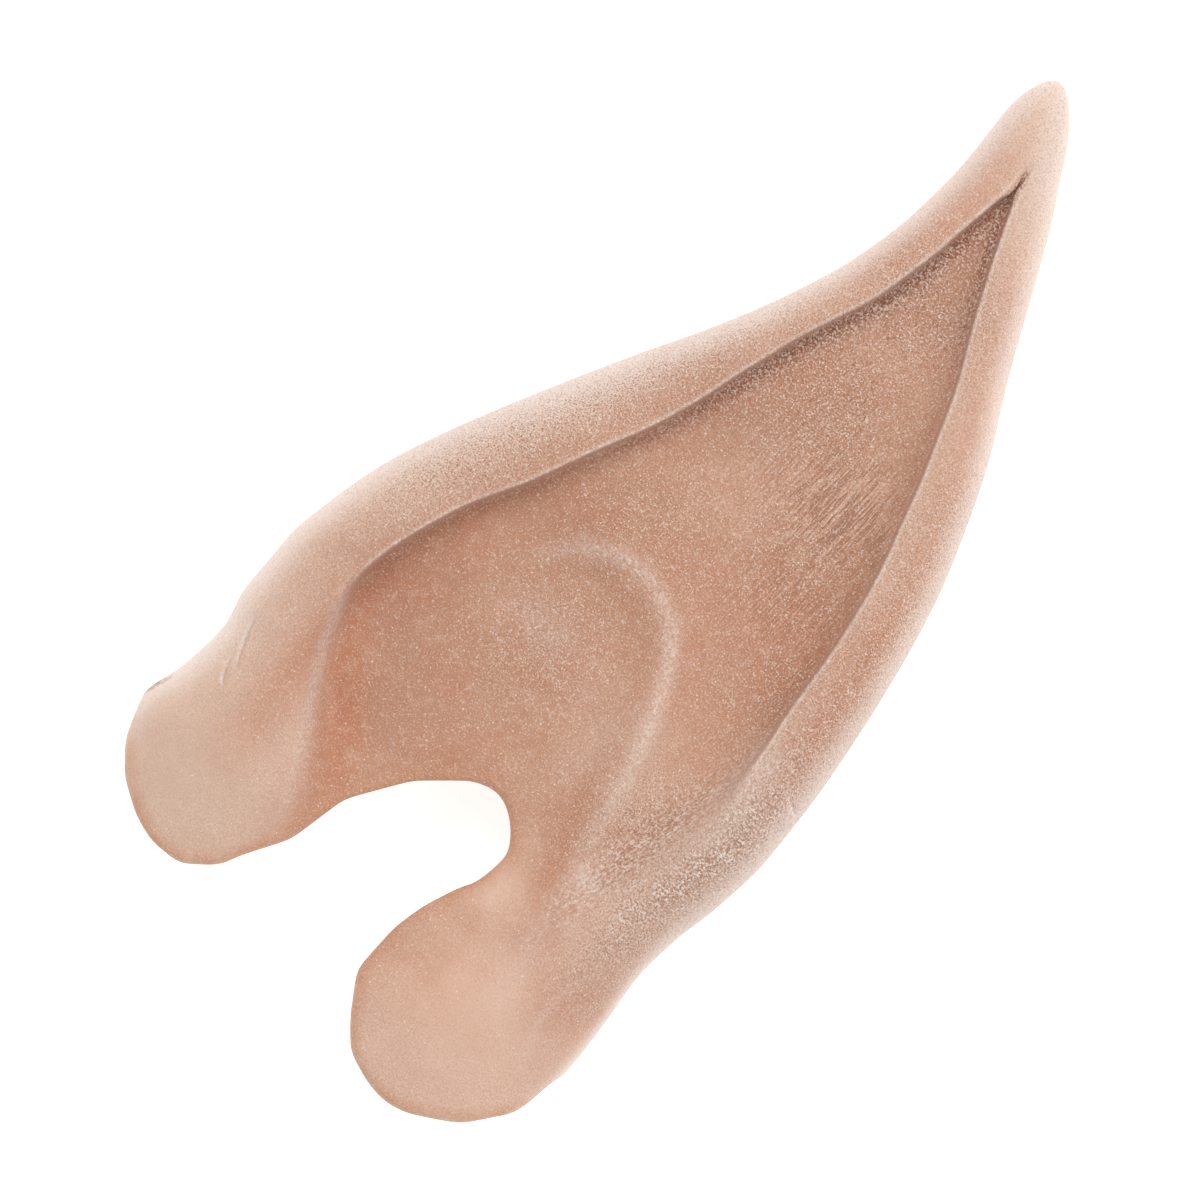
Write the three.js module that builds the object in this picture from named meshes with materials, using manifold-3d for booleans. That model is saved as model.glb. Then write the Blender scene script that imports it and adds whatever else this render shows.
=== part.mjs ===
// An elf ear tip: a thin latex shell that slips over the top of the wearer's left ear.
// Millimetres. +Y runs from the open base to the pointed tip, +X from the front rim to the back rim
// and +Z out of the sculpted face. The shell lies on its back, with the origin under its middle.

import * as THREE from 'three';
import Module from 'manifold-3d';

// Driving dimensions
const LENGTH = 110; // lowest point of the back lobe to the tip
const WIDTH = 53.3; // outermost front edge to outermost back edge
const DEPTH = 18; // back of the shell to the crown of the front rim
const WALL = 1.5; // latex all round the hollow
const SOLID_TIP = 21; // end of the tip that the latex fills
const HOLLOW_END = 9; // length over which the hollow closes towards the tip
const NOSE = 5.5; // length of the rounded end of the tip

const FRONT_RIM = 8.2; // front rim, silhouette to crease
const BACK_RIM = 6.9; // back rim, silhouette to crease
const CROWN_PLACE = 0.55; // where a rim is highest, as a share of its width
const RIM_ROLL = 0.9; // fall of a rim from its crown to its lip
const FULL_ROLL_DIP = 0.5; // share of RECESS from which a rim has its full roll
const RECESS = 4.6; // depth of the bowl beside the front rim
const CRISP_STEP = 0.8; // width of the step from a rim to the floor where it is crisp
const SOFT_STEP = 9; // and where it has faded to a slope
const LEAST_FLOOR = 0.5; // floor left between the creases where they meet

const RIDGE_RISE = 1.5; // crest inside the ear, above the floor
const RIDGE_OUTER = 1.7; // reach of its flank towards the back rim
const RIDGE_INNER = 3.2; // reach of its flank towards the bowl

const BASE_SPARE = 6; // extra length below the base, for the cuts to trim
const ARCH_SPARE = 2.4; // how far the back wall stops above the notch
const FRONT_CUT_FLOOR = 0.5; // height down to which the cut follows the face, as a share of DEPTH
const BACK_CUT_CEILING = 0.17; // height up to which the cut follows the back wall, the same

// Silhouette: shares of LENGTH, and of WIDTH from the front side
const OUTLINE = {
  columns: ['along', 'frontEdge', 'backEdge'],
  rows: [
    [-0.06, 0.0, 0.972],
    [0.07, 0.0, 0.971],
    [0.12, 0.0, 0.971],
    [0.165, 0.025, 0.967],
    [0.21, 0.036, 0.96],
    [0.25, 0.022, 0.968],
    [0.3, 0.022, 0.989],
    [0.35, 0.039, 1.0],
    [0.4, 0.068, 0.998],
    [0.46, 0.121, 0.988],
    [0.53, 0.195, 0.969],
    [0.6, 0.274, 0.941],
    [0.66, 0.346, 0.903],
    [0.72, 0.408, 0.856],
    [0.78, 0.456, 0.794],
    [0.84, 0.484, 0.738],
    [0.9, 0.494, 0.682],
    [0.95, 0.491, 0.627],
    [1.0, 0.486, 0.58],
  ],
};

// Rims and floor: widths as shares of FRONT_RIM and BACK_RIM, softness of the creases from 0, crisp,
// to 1, a slope, and the floor's depth at each crease and midway as shares of RECESS
const RIMS = {
  columns: ['along', 'frontRim', 'backRim', 'frontSoft', 'backSoft', 'frontDip', 'midDip', 'backDip'],
  rows: [
    [-0.06, 2.1, 2.9, 0.9, 1.0, 0.1, 0.05, 0.25],
    [0.05, 2.15, 2.7, 0.9, 1.0, 0.35, 0.05, 0.35],
    [0.12, 2.13, 1.9, 0.75, 1.0, 0.7, 0.05, 0.35],
    [0.175, 1.72, 1.35, 0.62, 1.0, 0.9, 0.08, 0.35],
    [0.22, 1.27, 1.18, 0.45, 0.9, 1.0, 0.12, 0.4],
    [0.285, 0.98, 1.1, 0.2, 0.65, 1.0, 0.14, 0.48],
    [0.35, 0.89, 1.04, 0.02, 0.35, 0.93, 0.12, 0.52],
    [0.415, 0.95, 1.0, 0.0, 0.03, 0.82, 0.12, 0.53],
    [0.47, 1.01, 0.98, 0.0, 0.0, 0.74, 0.12, 0.52],
    [0.54, 0.98, 0.935, 0.0, 0.0, 0.66, 0.13, 0.5],
    [0.6, 0.88, 0.92, 0.0, 0.0, 0.6, 0.13, 0.48],
    [0.655, 0.67, 0.89, 0.0, 0.0, 0.55, 0.12, 0.46],
    [0.7, 0.58, 0.86, 0.0, 0.0, 0.52, 0.1, 0.44],
    [0.77, 0.54, 0.75, 0.0, 0.0, 0.47, 0.07, 0.41],
    [0.84, 0.53, 0.74, 0.0, 0.0, 0.41, 0.04, 0.37],
    [0.885, 0.58, 0.68, 0.0, 0.0, 0.33, 0.0, 0.31],
    [0.925, 0.64, 0.54, 0.0, 0.0, 0.0, 0.0, 0.0],
    [1.0, 0.64, 0.54, 0.0, 0.0, 0.0, 0.0, 0.0],
  ],
};

// Heights as shares of DEPTH: the crown of each rim, the side edges and the middle of the back;
// fullness is the power of the back's curve, higher where it is flat with round corners
const HEIGHTS = {
  columns: ['along', 'frontCrown', 'backCrown', 'edge', 'back', 'fullness'],
  rows: [
    [-0.06, 0.7, 0.62, 0.36, -0.05, 4.4],
    [0.0, 0.75, 0.69, 0.38, -0.05, 4.4],
    [0.08, 0.85, 0.8, 0.4, -0.05, 4.4],
    [0.15, 0.9, 0.86, 0.41, -0.05, 4.2],
    [0.21, 0.9, 0.9, 0.43, -0.04, 4.0],
    [0.28, 0.96, 0.93, 0.44, -0.01, 3.6],
    [0.36, 1.0, 0.94, 0.445, 0.0, 3.2],
    [0.46, 0.96, 0.89, 0.42, 0.0, 3.0],
    [0.6, 0.8, 0.76, 0.37, 0.0, 2.8],
    [0.75, 0.62, 0.6, 0.3, 0.0, 2.6],
    [0.88, 0.47, 0.46, 0.25, 0.02, 2.4],
    [1.0, 0.37, 0.37, 0.24, 0.08, 2.2],
  ],
};

// The crest inside the ear, from under the front rim round and down into the back lobe:
// its route as shares of WIDTH and LENGTH, and its height as a share of RIDGE_RISE
const RIDGE = {
  columns: ['across', 'along', 'rise'],
  rows: [
    [0.33, 0.392, 0.0],
    [0.37, 0.43, 0.4],
    [0.411, 0.454, 0.75],
    [0.464, 0.466, 0.95],
    [0.525, 0.467, 1.0],
    [0.582, 0.459, 1.0],
    [0.628, 0.443, 1.0],
    [0.66, 0.418, 1.0],
    [0.69, 0.387, 1.0],
    [0.712, 0.355, 0.95],
    [0.733, 0.315, 0.9],
    [0.748, 0.275, 0.75],
    [0.763, 0.235, 0.55],
    [0.778, 0.195, 0.4],
    [0.79, 0.155, 0.25],
    [0.82, 0.1, 0.0],
  ],
};

// Lower edge of the face, from the front side round both lobes and the notch to the back side
const FACE_EDGE = {
  columns: ['across', 'along'],
  rows: [
    [-0.12, 0.138],
    [0.0, 0.117],
    [0.035, 0.084],
    [0.075, 0.063],
    [0.128, 0.046],
    [0.19, 0.037],
    [0.258, 0.043],
    [0.32, 0.077],
    [0.348, 0.105],
    [0.371, 0.14],
    [0.41, 0.184],
    [0.465, 0.22],
    [0.53, 0.245],
    [0.592, 0.25],
    [0.642, 0.232],
    [0.652, 0.2],
    [0.62, 0.162],
    [0.585, 0.118],
    [0.582, 0.072],
    [0.625, 0.033],
    [0.715, 0.0],
    [0.8, 0.003],
    [0.865, 0.015],
    [0.915, 0.034],
    [0.952, 0.062],
    [0.975, 0.09],
    [1.12, 0.11],
  ],
};

// How finely the skins are divided
const RIM_STEPS = 8;
const FLOOR_STEPS = 20;
const BACK_STEPS = 14;
const HOLLOW_RIM_STEPS = 4;
const HOLLOW_TURN_STEPS = 3;
const HOLLOW_FLOOR_STEPS = 8;
const STATION_GAP = 2.1;
const NOSE_STEPS = 4;
const EDGE_STEPS = 104;
const CUT_LEVELS = 4;
const RIDGE_SAMPLES = 64;
const BALL_RINGS = [0.4, 0.75, 0.97];
const BALL_SPOKES = 12;
const LEAST_HOLLOW = 0.15; // height of the hollow where it is taken to end at its sides
const SIDE_HALVINGS = 24; // rounds of the search for a side of the hollow
const TURN_REACH = 0.96; // how far outside a crease's foot the roof has come down, as a share of WALL
const CLOSING_PLACES = [0.4, 0.7, 0.9, 0.98]; // stations of the hollow's round end, as shares of it

const clamp01 = (v) => Math.min(1, Math.max(0, v));
const mix = (a, b, t) => a + (b - a) * t;
const smooth = (t) => clamp01(t) ** 2 * (3 - 2 * clamp01(t));
const quarterRound = (t) => Math.sqrt(1 - (1 - clamp01(t)) ** 2);

// Slope of a column at a row: flat at its turning points, so that a curve never overshoots its rows
function slopeAt(rows, column, i) {
  const slope = (k) => (rows[k + 1][column] - rows[k][column]) / (rows[k + 1][0] - rows[k][0]);
  if (i === 0) return slope(0);
  if (i === rows.length - 1) return slope(rows.length - 2);
  const before = slope(i - 1);
  const after = slope(i);
  return before * after <= 0 ? 0 : (2 * before * after) / (before + after);
}

// One row of a table, read at any share of the length by smooth curves through its rows
function readTable(table, along) {
  const rows = table.rows;
  let i = 0;
  while (i < rows.length - 2 && along > rows[i + 1][0]) i += 1;
  const gap = rows[i + 1][0] - rows[i][0];
  const t = clamp01((along - rows[i][0]) / gap);
  const values = {};
  table.columns.forEach((name, c) => {
    const start = rows[i][c];
    const end = rows[i + 1][c];
    const leave = slopeAt(rows, c, i) * gap;
    const arrive = slopeAt(rows, c, i + 1) * gap;
    const curve = (2 * start - 2 * end + leave + arrive) * t ** 3;
    values[name] = curve + (3 * end - 3 * start - 2 * leave - arrive) * t ** 2 + leave * t + start;
  });
  return values;
}

// Every size of the cross-section at y, in millimetres
function sectionAt(y) {
  const along = y / LENGTH;
  const outline = readTable(OUTLINE, along);
  const rims = readTable(RIMS, along);
  const heights = readTable(HEIGHTS, along);
  const nose = Math.sqrt(Math.max(0, 1 - Math.max(0, (y - LENGTH + NOSE) / NOSE) ** 2));

  const middle = (WIDTH * (outline.frontEdge + outline.backEdge)) / 2;
  const half = ((WIDTH * (outline.backEdge - outline.frontEdge)) / 2) * nose;
  const frontEdge = middle - half;
  const backEdge = middle + half;
  let frontCrease = frontEdge + FRONT_RIM * rims.frontRim * nose;
  let backCrease = backEdge - BACK_RIM * rims.backRim * nose;
  const floor = Math.max(backCrease - frontCrease, LEAST_FLOOR * nose);
  const floorMiddle = (frontCrease + backCrease) / 2;
  frontCrease = floorMiddle - floor / 2;
  backCrease = floorMiddle + floor / 2;

  return {
    frontEdge,
    backEdge,
    frontCrease,
    backCrease,
    frontStep: Math.min(mix(CRISP_STEP, SOFT_STEP, rims.frontSoft), floor / 2),
    backStep: Math.min(mix(CRISP_STEP, SOFT_STEP, rims.backSoft), floor / 2),
    frontDip: RECESS * rims.frontDip,
    midDip: RECESS * rims.midDip,
    backDip: RECESS * rims.backDip,
    frontRoll: RIM_ROLL * clamp01(rims.frontDip / FULL_ROLL_DIP) * (1 - rims.frontSoft),
    backRoll: RIM_ROLL * clamp01(rims.backDip / FULL_ROLL_DIP) * (1 - rims.backSoft),
    frontCrown: DEPTH * heights.frontCrown,
    backCrown: DEPTH * heights.backCrown,
    edge: DEPTH * heights.edge,
    back: DEPTH * heights.back,
    fullness: heights.fullness,
    nose,
  };
}

// The crest's route as short straight pieces, each with its height
function ridgeRoute() {
  const points = RIDGE.rows.map(([across, along, rise]) =>
    new THREE.Vector3(across * WIDTH, along * LENGTH, rise * RIDGE_RISE));
  return new THREE.CatmullRomCurve3(points, false, 'centripetal').getPoints(RIDGE_SAMPLES);
}
const ridge = ridgeRoute();

// Height that the crest adds at a point of the floor, by its distance from the route
function ridgeHeight(x, y) {
  let nearest = Infinity;
  let rise = 0;
  let side = 1;
  for (let i = 0; i < ridge.length - 1; i += 1) {
    const a = ridge[i];
    const b = ridge[i + 1];
    const dx = b.x - a.x;
    const dy = b.y - a.y;
    const t = clamp01(((x - a.x) * dx + (y - a.y) * dy) / (dx * dx + dy * dy));
    const awayX = x - a.x - dx * t;
    const awayY = y - a.y - dy * t;
    const distance = Math.hypot(awayX, awayY);
    if (distance < nearest) {
      nearest = distance;
      rise = mix(a.z, b.z, t);
      side = dx * awayY - dy * awayX;
    }
  }
  const reach = side > 0 ? RIDGE_OUTER : RIDGE_INNER;
  return Math.max(0, rise) * Math.exp(-((nearest / reach) ** 2));
}

// Height of the sculpted face over x, on the section s at y
function faceHeight(s, x, y) {
  const frontWidth = s.frontCrease - s.frontEdge;
  const backWidth = s.backEdge - s.backCrease;
  const frontCrownX = s.frontEdge + CROWN_PLACE * frontWidth;
  const backCrownX = s.backEdge - CROWN_PLACE * backWidth;
  const crown = mix(s.frontCrown, s.backCrown, clamp01((x - frontCrownX) / (backCrownX - frontCrownX)));
  const frontRound = quarterRound((x - s.frontEdge) / (frontCrownX - s.frontEdge));
  const backRound = quarterRound((s.backEdge - x) / (s.backEdge - backCrownX));
  const frontFall = clamp01((x - frontCrownX) / (s.frontCrease - frontCrownX));
  const backFall = clamp01((backCrownX - x) / (backCrownX - s.backCrease));
  const roll = Math.min(s.frontRoll * frontFall ** 2, s.backRoll * backFall ** 2);

  const across = clamp01((x - s.frontCrease) / (s.backCrease - s.frontCrease));
  const bowl = mix(s.frontDip, s.backDip, across) + s.midDip * 4 * across * (1 - across);
  const pastFront = smooth(0.5 + (x - s.frontCrease) / s.frontStep);
  const pastBack = smooth(0.5 + (s.backCrease - x) / s.backStep);
  const sunk = pastFront * pastBack;
  const rise = (crown - s.edge) * frontRound * backRound - roll - bowl * sunk;
  return s.edge + (rise + ridgeHeight(x, y) * sunk) * s.nose;
}

// Height of the smooth back over x, on the section s
function backHeight(s, x) {
  const across = Math.min(1, Math.abs((2 * x - s.frontEdge - s.backEdge) / (s.backEdge - s.frontEdge)));
  const round = (1 - across ** s.fullness) ** (1 / s.fullness);
  return s.edge + (s.back - s.edge) * round * s.nose;
}

// Where the face has its points across a section: closer together at the edges and the creases
function faceColumns(s) {
  const columns = [];
  const frontLip = s.frontCrease - s.frontStep / 2;
  const frontFoot = s.frontCrease + s.frontStep / 2;
  const backFoot = s.backCrease - s.backStep / 2;
  const backLip = s.backCrease + s.backStep / 2;
  const towards = (t) => 1 - Math.cos((t * Math.PI) / 2);
  for (let i = 1; i <= RIM_STEPS; i += 1) columns.push(mix(s.frontEdge, frontLip, towards(i / RIM_STEPS)));
  columns.push(s.frontCrease);
  for (let i = 0; i <= FLOOR_STEPS; i += 1) columns.push(mix(frontFoot, backFoot, i / FLOOR_STEPS));
  columns.push(s.backCrease);
  for (let i = RIM_STEPS; i >= 1; i -= 1) columns.push(mix(s.backEdge, backLip, towards(i / RIM_STEPS)));
  return columns;
}

// One closed ring of the outer skin at y: front edge, face, back edge, back
function outerRing(y) {
  const s = sectionAt(y);
  const ring = [new THREE.Vector3(s.frontEdge, y, s.edge)];
  for (const x of faceColumns(s)) ring.push(new THREE.Vector3(x, y, faceHeight(s, x, y)));
  ring.push(new THREE.Vector3(s.backEdge, y, s.edge));
  for (let i = 1; i < BACK_STEPS; i += 1) {
    const x = mix(s.backEdge, s.frontEdge, (1 - Math.cos((i * Math.PI) / BACK_STEPS)) / 2);
    ring.push(new THREE.Vector3(x, y, backHeight(s, x)));
  }
  return ring;
}

// Heights between which the hollow lies over a point: each skin moved in by a ball as big as the wall
function hollowSpan(x, y) {
  const here = sectionAt(y);
  if (x <= here.frontEdge || x >= here.backEdge) return null;
  let top = faceHeight(here, x, y) - WALL;
  let bottom = backHeight(here, x) + WALL;
  for (const ringShare of BALL_RINGS) {
    const reach = WALL * ringShare;
    const height = Math.sqrt(WALL * WALL - reach * reach);
    for (let k = 0; k < BALL_SPOKES; k += 1) {
      const turn = (2 * Math.PI * k) / BALL_SPOKES;
      const sideX = x + reach * Math.cos(turn);
      const sideY = y + reach * Math.sin(turn);
      const s = sectionAt(sideY);
      if (sideX <= s.frontEdge || sideX >= s.backEdge) return null;
      top = Math.min(top, faceHeight(s, sideX, sideY) - height);
      bottom = Math.max(bottom, backHeight(s, sideX) + height);
    }
  }
  return top - bottom > LEAST_HOLLOW ? { top, bottom } : null;
}

// Side of the hollow at y, found by halving the way from a point inside to one outside
function hollowSide(inside, outside, y) {
  let kept = inside;
  let lost = outside;
  for (let i = 0; i < SIDE_HALVINGS; i += 1) {
    const x = (kept + lost) / 2;
    if (hollowSpan(x, y)) kept = x;
    else lost = x;
  }
  return kept;
}

// Where the hollow has its points from one side to the middle of the floor, for a crease that steps
// down from its lip to its foot. The roof turns down one wall's thickness outside that step.
function hollowHalf(side, lip, foot, floorMiddle) {
  const outwards = Math.sign(side - floorMiddle);
  const turnTop = lip + outwards * WALL;
  const turnEnd = foot + outwards * WALL * TURN_REACH;
  const columns = [];
  for (let i = 0; i < HOLLOW_RIM_STEPS; i += 1) {
    columns.push(mix(side, turnTop, 1 - Math.cos((i * Math.PI) / 2 / HOLLOW_RIM_STEPS)));
  }
  for (let i = 0; i <= HOLLOW_TURN_STEPS; i += 1) columns.push(mix(turnTop, turnEnd, i / HOLLOW_TURN_STEPS));
  columns.push((turnEnd + foot) / 2);
  for (let i = 0; i < HOLLOW_FLOOR_STEPS / 2; i += 1) {
    columns.push(mix(foot, floorMiddle, (2 * i) / HOLLOW_FLOOR_STEPS));
  }
  const widest = Math.abs(side - floorMiddle);
  return columns.map((x) => floorMiddle + outwards * Math.min(Math.abs(x - floorMiddle), widest));
}

// Where the hollow has its points across a section
function hollowColumns(s, frontSide, backSide) {
  const frontFoot = s.frontCrease + s.frontStep / 2;
  const backFoot = s.backCrease - s.backStep / 2;
  const middle = (frontFoot + backFoot) / 2;
  return [
    ...hollowHalf(frontSide, s.frontCrease - s.frontStep / 2, frontFoot, middle),
    middle,
    ...hollowHalf(backSide, s.backCrease + s.backStep / 2, backFoot, middle).reverse(),
  ];
}

// One closed ring of the hollow at y, shrunk about its middle by a closing share
function hollowRing(y, closing) {
  const s = sectionAt(y);
  const middle = (s.frontEdge + s.backEdge) / 2;
  const columns = hollowColumns(s, hollowSide(middle, s.frontEdge, y), hollowSide(middle, s.backEdge, y));
  const upper = [];
  const lower = [];
  columns.forEach((column, i) => {
    const x = mix(middle, column, closing);
    const span = hollowSpan(x, y);
    const centre = (span.top + span.bottom) / 2;
    const atSide = i === 0 || i === columns.length - 1;
    const half = atSide ? 0 : ((span.top - span.bottom) / 2) * closing;
    upper.push(new THREE.Vector3(x, y, centre + half));
    if (!atSide) lower.unshift(new THREE.Vector3(x, y, centre - half));
  });
  return [...upper, ...lower];
}

// The triangles of a flat end face, all wound as its ring is; flat names the ring's two coordinates
function endFace(ring, flat) {
  const outline = ring.map((p) => new THREE.Vector2(p[flat[0]], p[flat[1]]));
  const leftwards = THREE.ShapeUtils.area(outline) > 0;
  return THREE.ShapeUtils.triangulateShape(outline.slice(), []).map(([a, b, c]) => {
    const same = THREE.ShapeUtils.area([outline[a], outline[b], outline[c]]) > 0 === leftwards;
    return same ? [a, b, c] : [a, c, b];
  });
}

// A closed skin through rings of equal count, with flat ends.
// A last ring of one point closes the skin to that point instead.
function loft(rings, flat) {
  const count = rings[0].length;
  const lastRing = rings[rings.length - 1];
  const pointed = lastRing.length === 1;
  const bands = rings.length - (pointed ? 2 : 1);
  const triangles = endFace(rings[0], flat).flatMap(([a, b, c]) => [a, c, b]);
  for (let r = 0; r < bands; r += 1) {
    for (let i = 0; i < count; i += 1) {
      const a = r * count + i;
      const b = r * count + ((i + 1) % count);
      triangles.push(a, b, b + count, a, b + count, a + count);
    }
  }
  const base = bands * count;
  if (pointed) {
    for (let i = 0; i < count; i += 1) triangles.push(base + i, base + ((i + 1) % count), base + count);
  } else {
    for (const [a, b, c] of endFace(lastRing, flat)) triangles.push(base + a, base + b, base + c);
  }
  return { points: rings.flat(), triangles };
}

// Six times the volume that a skin holds, negative where it is inside out
function signedVolume({ points, triangles }) {
  let sum = 0;
  for (let i = 0; i < triangles.length; i += 3) {
    const [a, b, c] = [points[triangles[i]], points[triangles[i + 1]], points[triangles[i + 2]]];
    sum += a.dot(b.clone().cross(c));
  }
  return sum;
}

const wasm = await Module();
wasm.setup();

// A solid for cutting, from a skin turned the right way out
function solidOf(skin) {
  const triVerts = new Uint32Array(skin.triangles);
  if (signedVolume(skin) < 0) {
    triVerts.reverse();
  }
  const vertProperties = new Float32Array(skin.points.flatMap((p) => [p.x, p.y, p.z]));
  return new wasm.Manifold(new wasm.Mesh({ numProp: 3, vertProperties, triVerts }));
}

// Stations from one length to another, about a station gap apart
function stations(from, to) {
  const count = Math.ceil((to - from) / STATION_GAP);
  return Array.from({ length: count + 1 }, (_, i) => mix(from, to, i / count));
}

// The sculpted outer form, filled, from below the base to the point of the tip
function outerForm() {
  const rings = stations(-BASE_SPARE, LENGTH - NOSE).map(outerRing);
  for (let i = 1; i < NOSE_STEPS; i += 1) {
    rings.push(outerRing(LENGTH - NOSE + NOSE * Math.sin((i * Math.PI) / 2 / NOSE_STEPS)));
  }
  const end = sectionAt(LENGTH);
  rings.push([new THREE.Vector3(end.frontEdge, LENGTH, end.edge)]);
  return solidOf(loft(rings, ['x', 'z']));
}

// The hollow for the wearer's ear, open past the base and closing to a round end in the tip
function hollowForm() {
  const end = LENGTH - SOLID_TIP;
  const rings = stations(-BASE_SPARE - WALL, end - HOLLOW_END).map((y) => hollowRing(y, 1));
  for (const t of CLOSING_PLACES) {
    rings.push(hollowRing(end - HOLLOW_END + HOLLOW_END * t, Math.sqrt(1 - t * t)));
  }
  return solidOf(loft(rings, ['x', 'z']));
}

// Lower edge of the face as points in the plane
function faceEdge() {
  const points = FACE_EDGE.rows.map(([across, along]) =>
    new THREE.Vector3(across * WIDTH, along * LENGTH, 0));
  return new THREE.CatmullRomCurve3(points, false, 'centripetal').getSpacedPoints(EDGE_STEPS);
}

// Lower edge of the back wall: a wide arch between the same two ends, above the top of the notch
function backEdge(face) {
  const start = face[0];
  const end = face[face.length - 1];
  const top = Math.max(...face.map((p) => p.y)) + ARCH_SPARE;
  return face.map((_, i) => {
    const t = i / (face.length - 1);
    const along = mix(start.y, end.y, t);
    const across = Math.abs(2 * t - 1);
    const arch = Math.sqrt(1 - across ** 2);
    return new THREE.Vector3(mix(start.x, end.x, t), mix(along, top, arch), 0);
  });
}

// What is cut away below the base. It follows the face's edge through the face and the back's edge
// through the back wall, and slants from one to the other through the side walls.
function baseCut() {
  const face = faceEdge();
  const back = backEdge(face);
  const below = -2 * BASE_SPARE;
  const ringAt = (share, z) => {
    const ring = face.map((p, i) => back[i].clone().lerp(p, share).setZ(z));
    const last = ring[ring.length - 1];
    return [...ring, new THREE.Vector3(last.x, below, z), new THREE.Vector3(ring[0].x, below, z)];
  };
  const rings = [ringAt(0, -DEPTH)];
  for (let i = 0; i <= CUT_LEVELS; i += 1) {
    const t = i / CUT_LEVELS;
    rings.push(ringAt(smooth(t), DEPTH * mix(BACK_CUT_CEILING, FRONT_CUT_FLOOR, t)));
  }
  rings.push(ringAt(1, 2 * DEPTH));
  return solidOf(loft(rings, ['x', 'y']));
}

// A solid's mesh as a three.js geometry
function geometryOf(solid) {
  const mesh = solid.getMesh();
  const geometry = new THREE.BufferGeometry();
  geometry.setAttribute('position', new THREE.BufferAttribute(new Float32Array(mesh.vertProperties), 3));
  geometry.setIndex(new THREE.BufferAttribute(new Uint32Array(mesh.triVerts), 1));
  return geometry;
}

// The whole ear tip, moved so that its box stands on the origin
function earTip() {
  const shell = outerForm().subtract(hollowForm()).subtract(baseCut());
  const geometry = geometryOf(shell);
  geometry.computeBoundingBox();
  const { min, max } = geometry.boundingBox;
  geometry.translate(-(min.x + max.x) / 2, -(min.y + max.y) / 2, -min.z);
  geometry.computeVertexNormals();
  const latex = new THREE.MeshStandardMaterial({ color: 0xc89a80, roughness: 0.75, metalness: 0 });
  const mesh = new THREE.Mesh(geometry, latex);
  mesh.name = 'ear_tip';
  return mesh;
}

const part = new THREE.Group();
part.add(earTip());

export default part;
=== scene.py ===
"""Dresses the elf ear tip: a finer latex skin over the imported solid, and the studio round it."""
import math
from types import SimpleNamespace

import bmesh
import bpy
import numpy as np
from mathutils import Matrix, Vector
from mathutils.kdtree import KDTree


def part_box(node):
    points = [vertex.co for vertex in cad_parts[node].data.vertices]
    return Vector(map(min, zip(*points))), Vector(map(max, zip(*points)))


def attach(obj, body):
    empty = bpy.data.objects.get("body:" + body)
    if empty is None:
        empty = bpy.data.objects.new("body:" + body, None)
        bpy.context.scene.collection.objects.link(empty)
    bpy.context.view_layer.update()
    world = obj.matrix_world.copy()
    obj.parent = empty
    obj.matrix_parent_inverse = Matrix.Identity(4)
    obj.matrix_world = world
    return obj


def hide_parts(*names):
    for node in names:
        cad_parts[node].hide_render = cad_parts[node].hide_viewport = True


# The skin is worked out in millimetres, with the sizes and tables that the part's source has too
MM = 0.001

LENGTH = 110.0
WIDTH = 53.3
DEPTH = 18.0
WALL = 1.5
SOLID_TIP = 21.0
HOLLOW_END = 9.0
NOSE = 5.5

FRONT_RIM = 8.2
BACK_RIM = 6.9
CROWN_PLACE = 0.55
RIM_ROLL = 0.9
FULL_ROLL_DIP = 0.5
RECESS = 4.6
CRISP_STEP = 0.8
SOFT_STEP = 9.0
LEAST_FLOOR = 0.5

RIDGE_RISE = 1.5
RIDGE_OUTER = 1.7
RIDGE_INNER = 3.2

BASE_SPARE = 6.0
ARCH_SPARE = 2.4
FRONT_CUT_FLOOR = 0.5
BACK_CUT_CEILING = 0.17

# Silhouette: shares of LENGTH, and of WIDTH from the front side
OUTLINE = {
    "columns": ["along", "front_edge", "back_edge"],
    "rows": [
        [-0.06, 0.0, 0.972],
        [0.07, 0.0, 0.971],
        [0.12, 0.0, 0.971],
        [0.165, 0.025, 0.967],
        [0.21, 0.036, 0.96],
        [0.25, 0.022, 0.968],
        [0.3, 0.022, 0.989],
        [0.35, 0.039, 1.0],
        [0.4, 0.068, 0.998],
        [0.46, 0.121, 0.988],
        [0.53, 0.195, 0.969],
        [0.6, 0.274, 0.941],
        [0.66, 0.346, 0.903],
        [0.72, 0.408, 0.856],
        [0.78, 0.456, 0.794],
        [0.84, 0.484, 0.738],
        [0.9, 0.494, 0.682],
        [0.95, 0.491, 0.627],
        [1.0, 0.486, 0.58],
    ],
}

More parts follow.
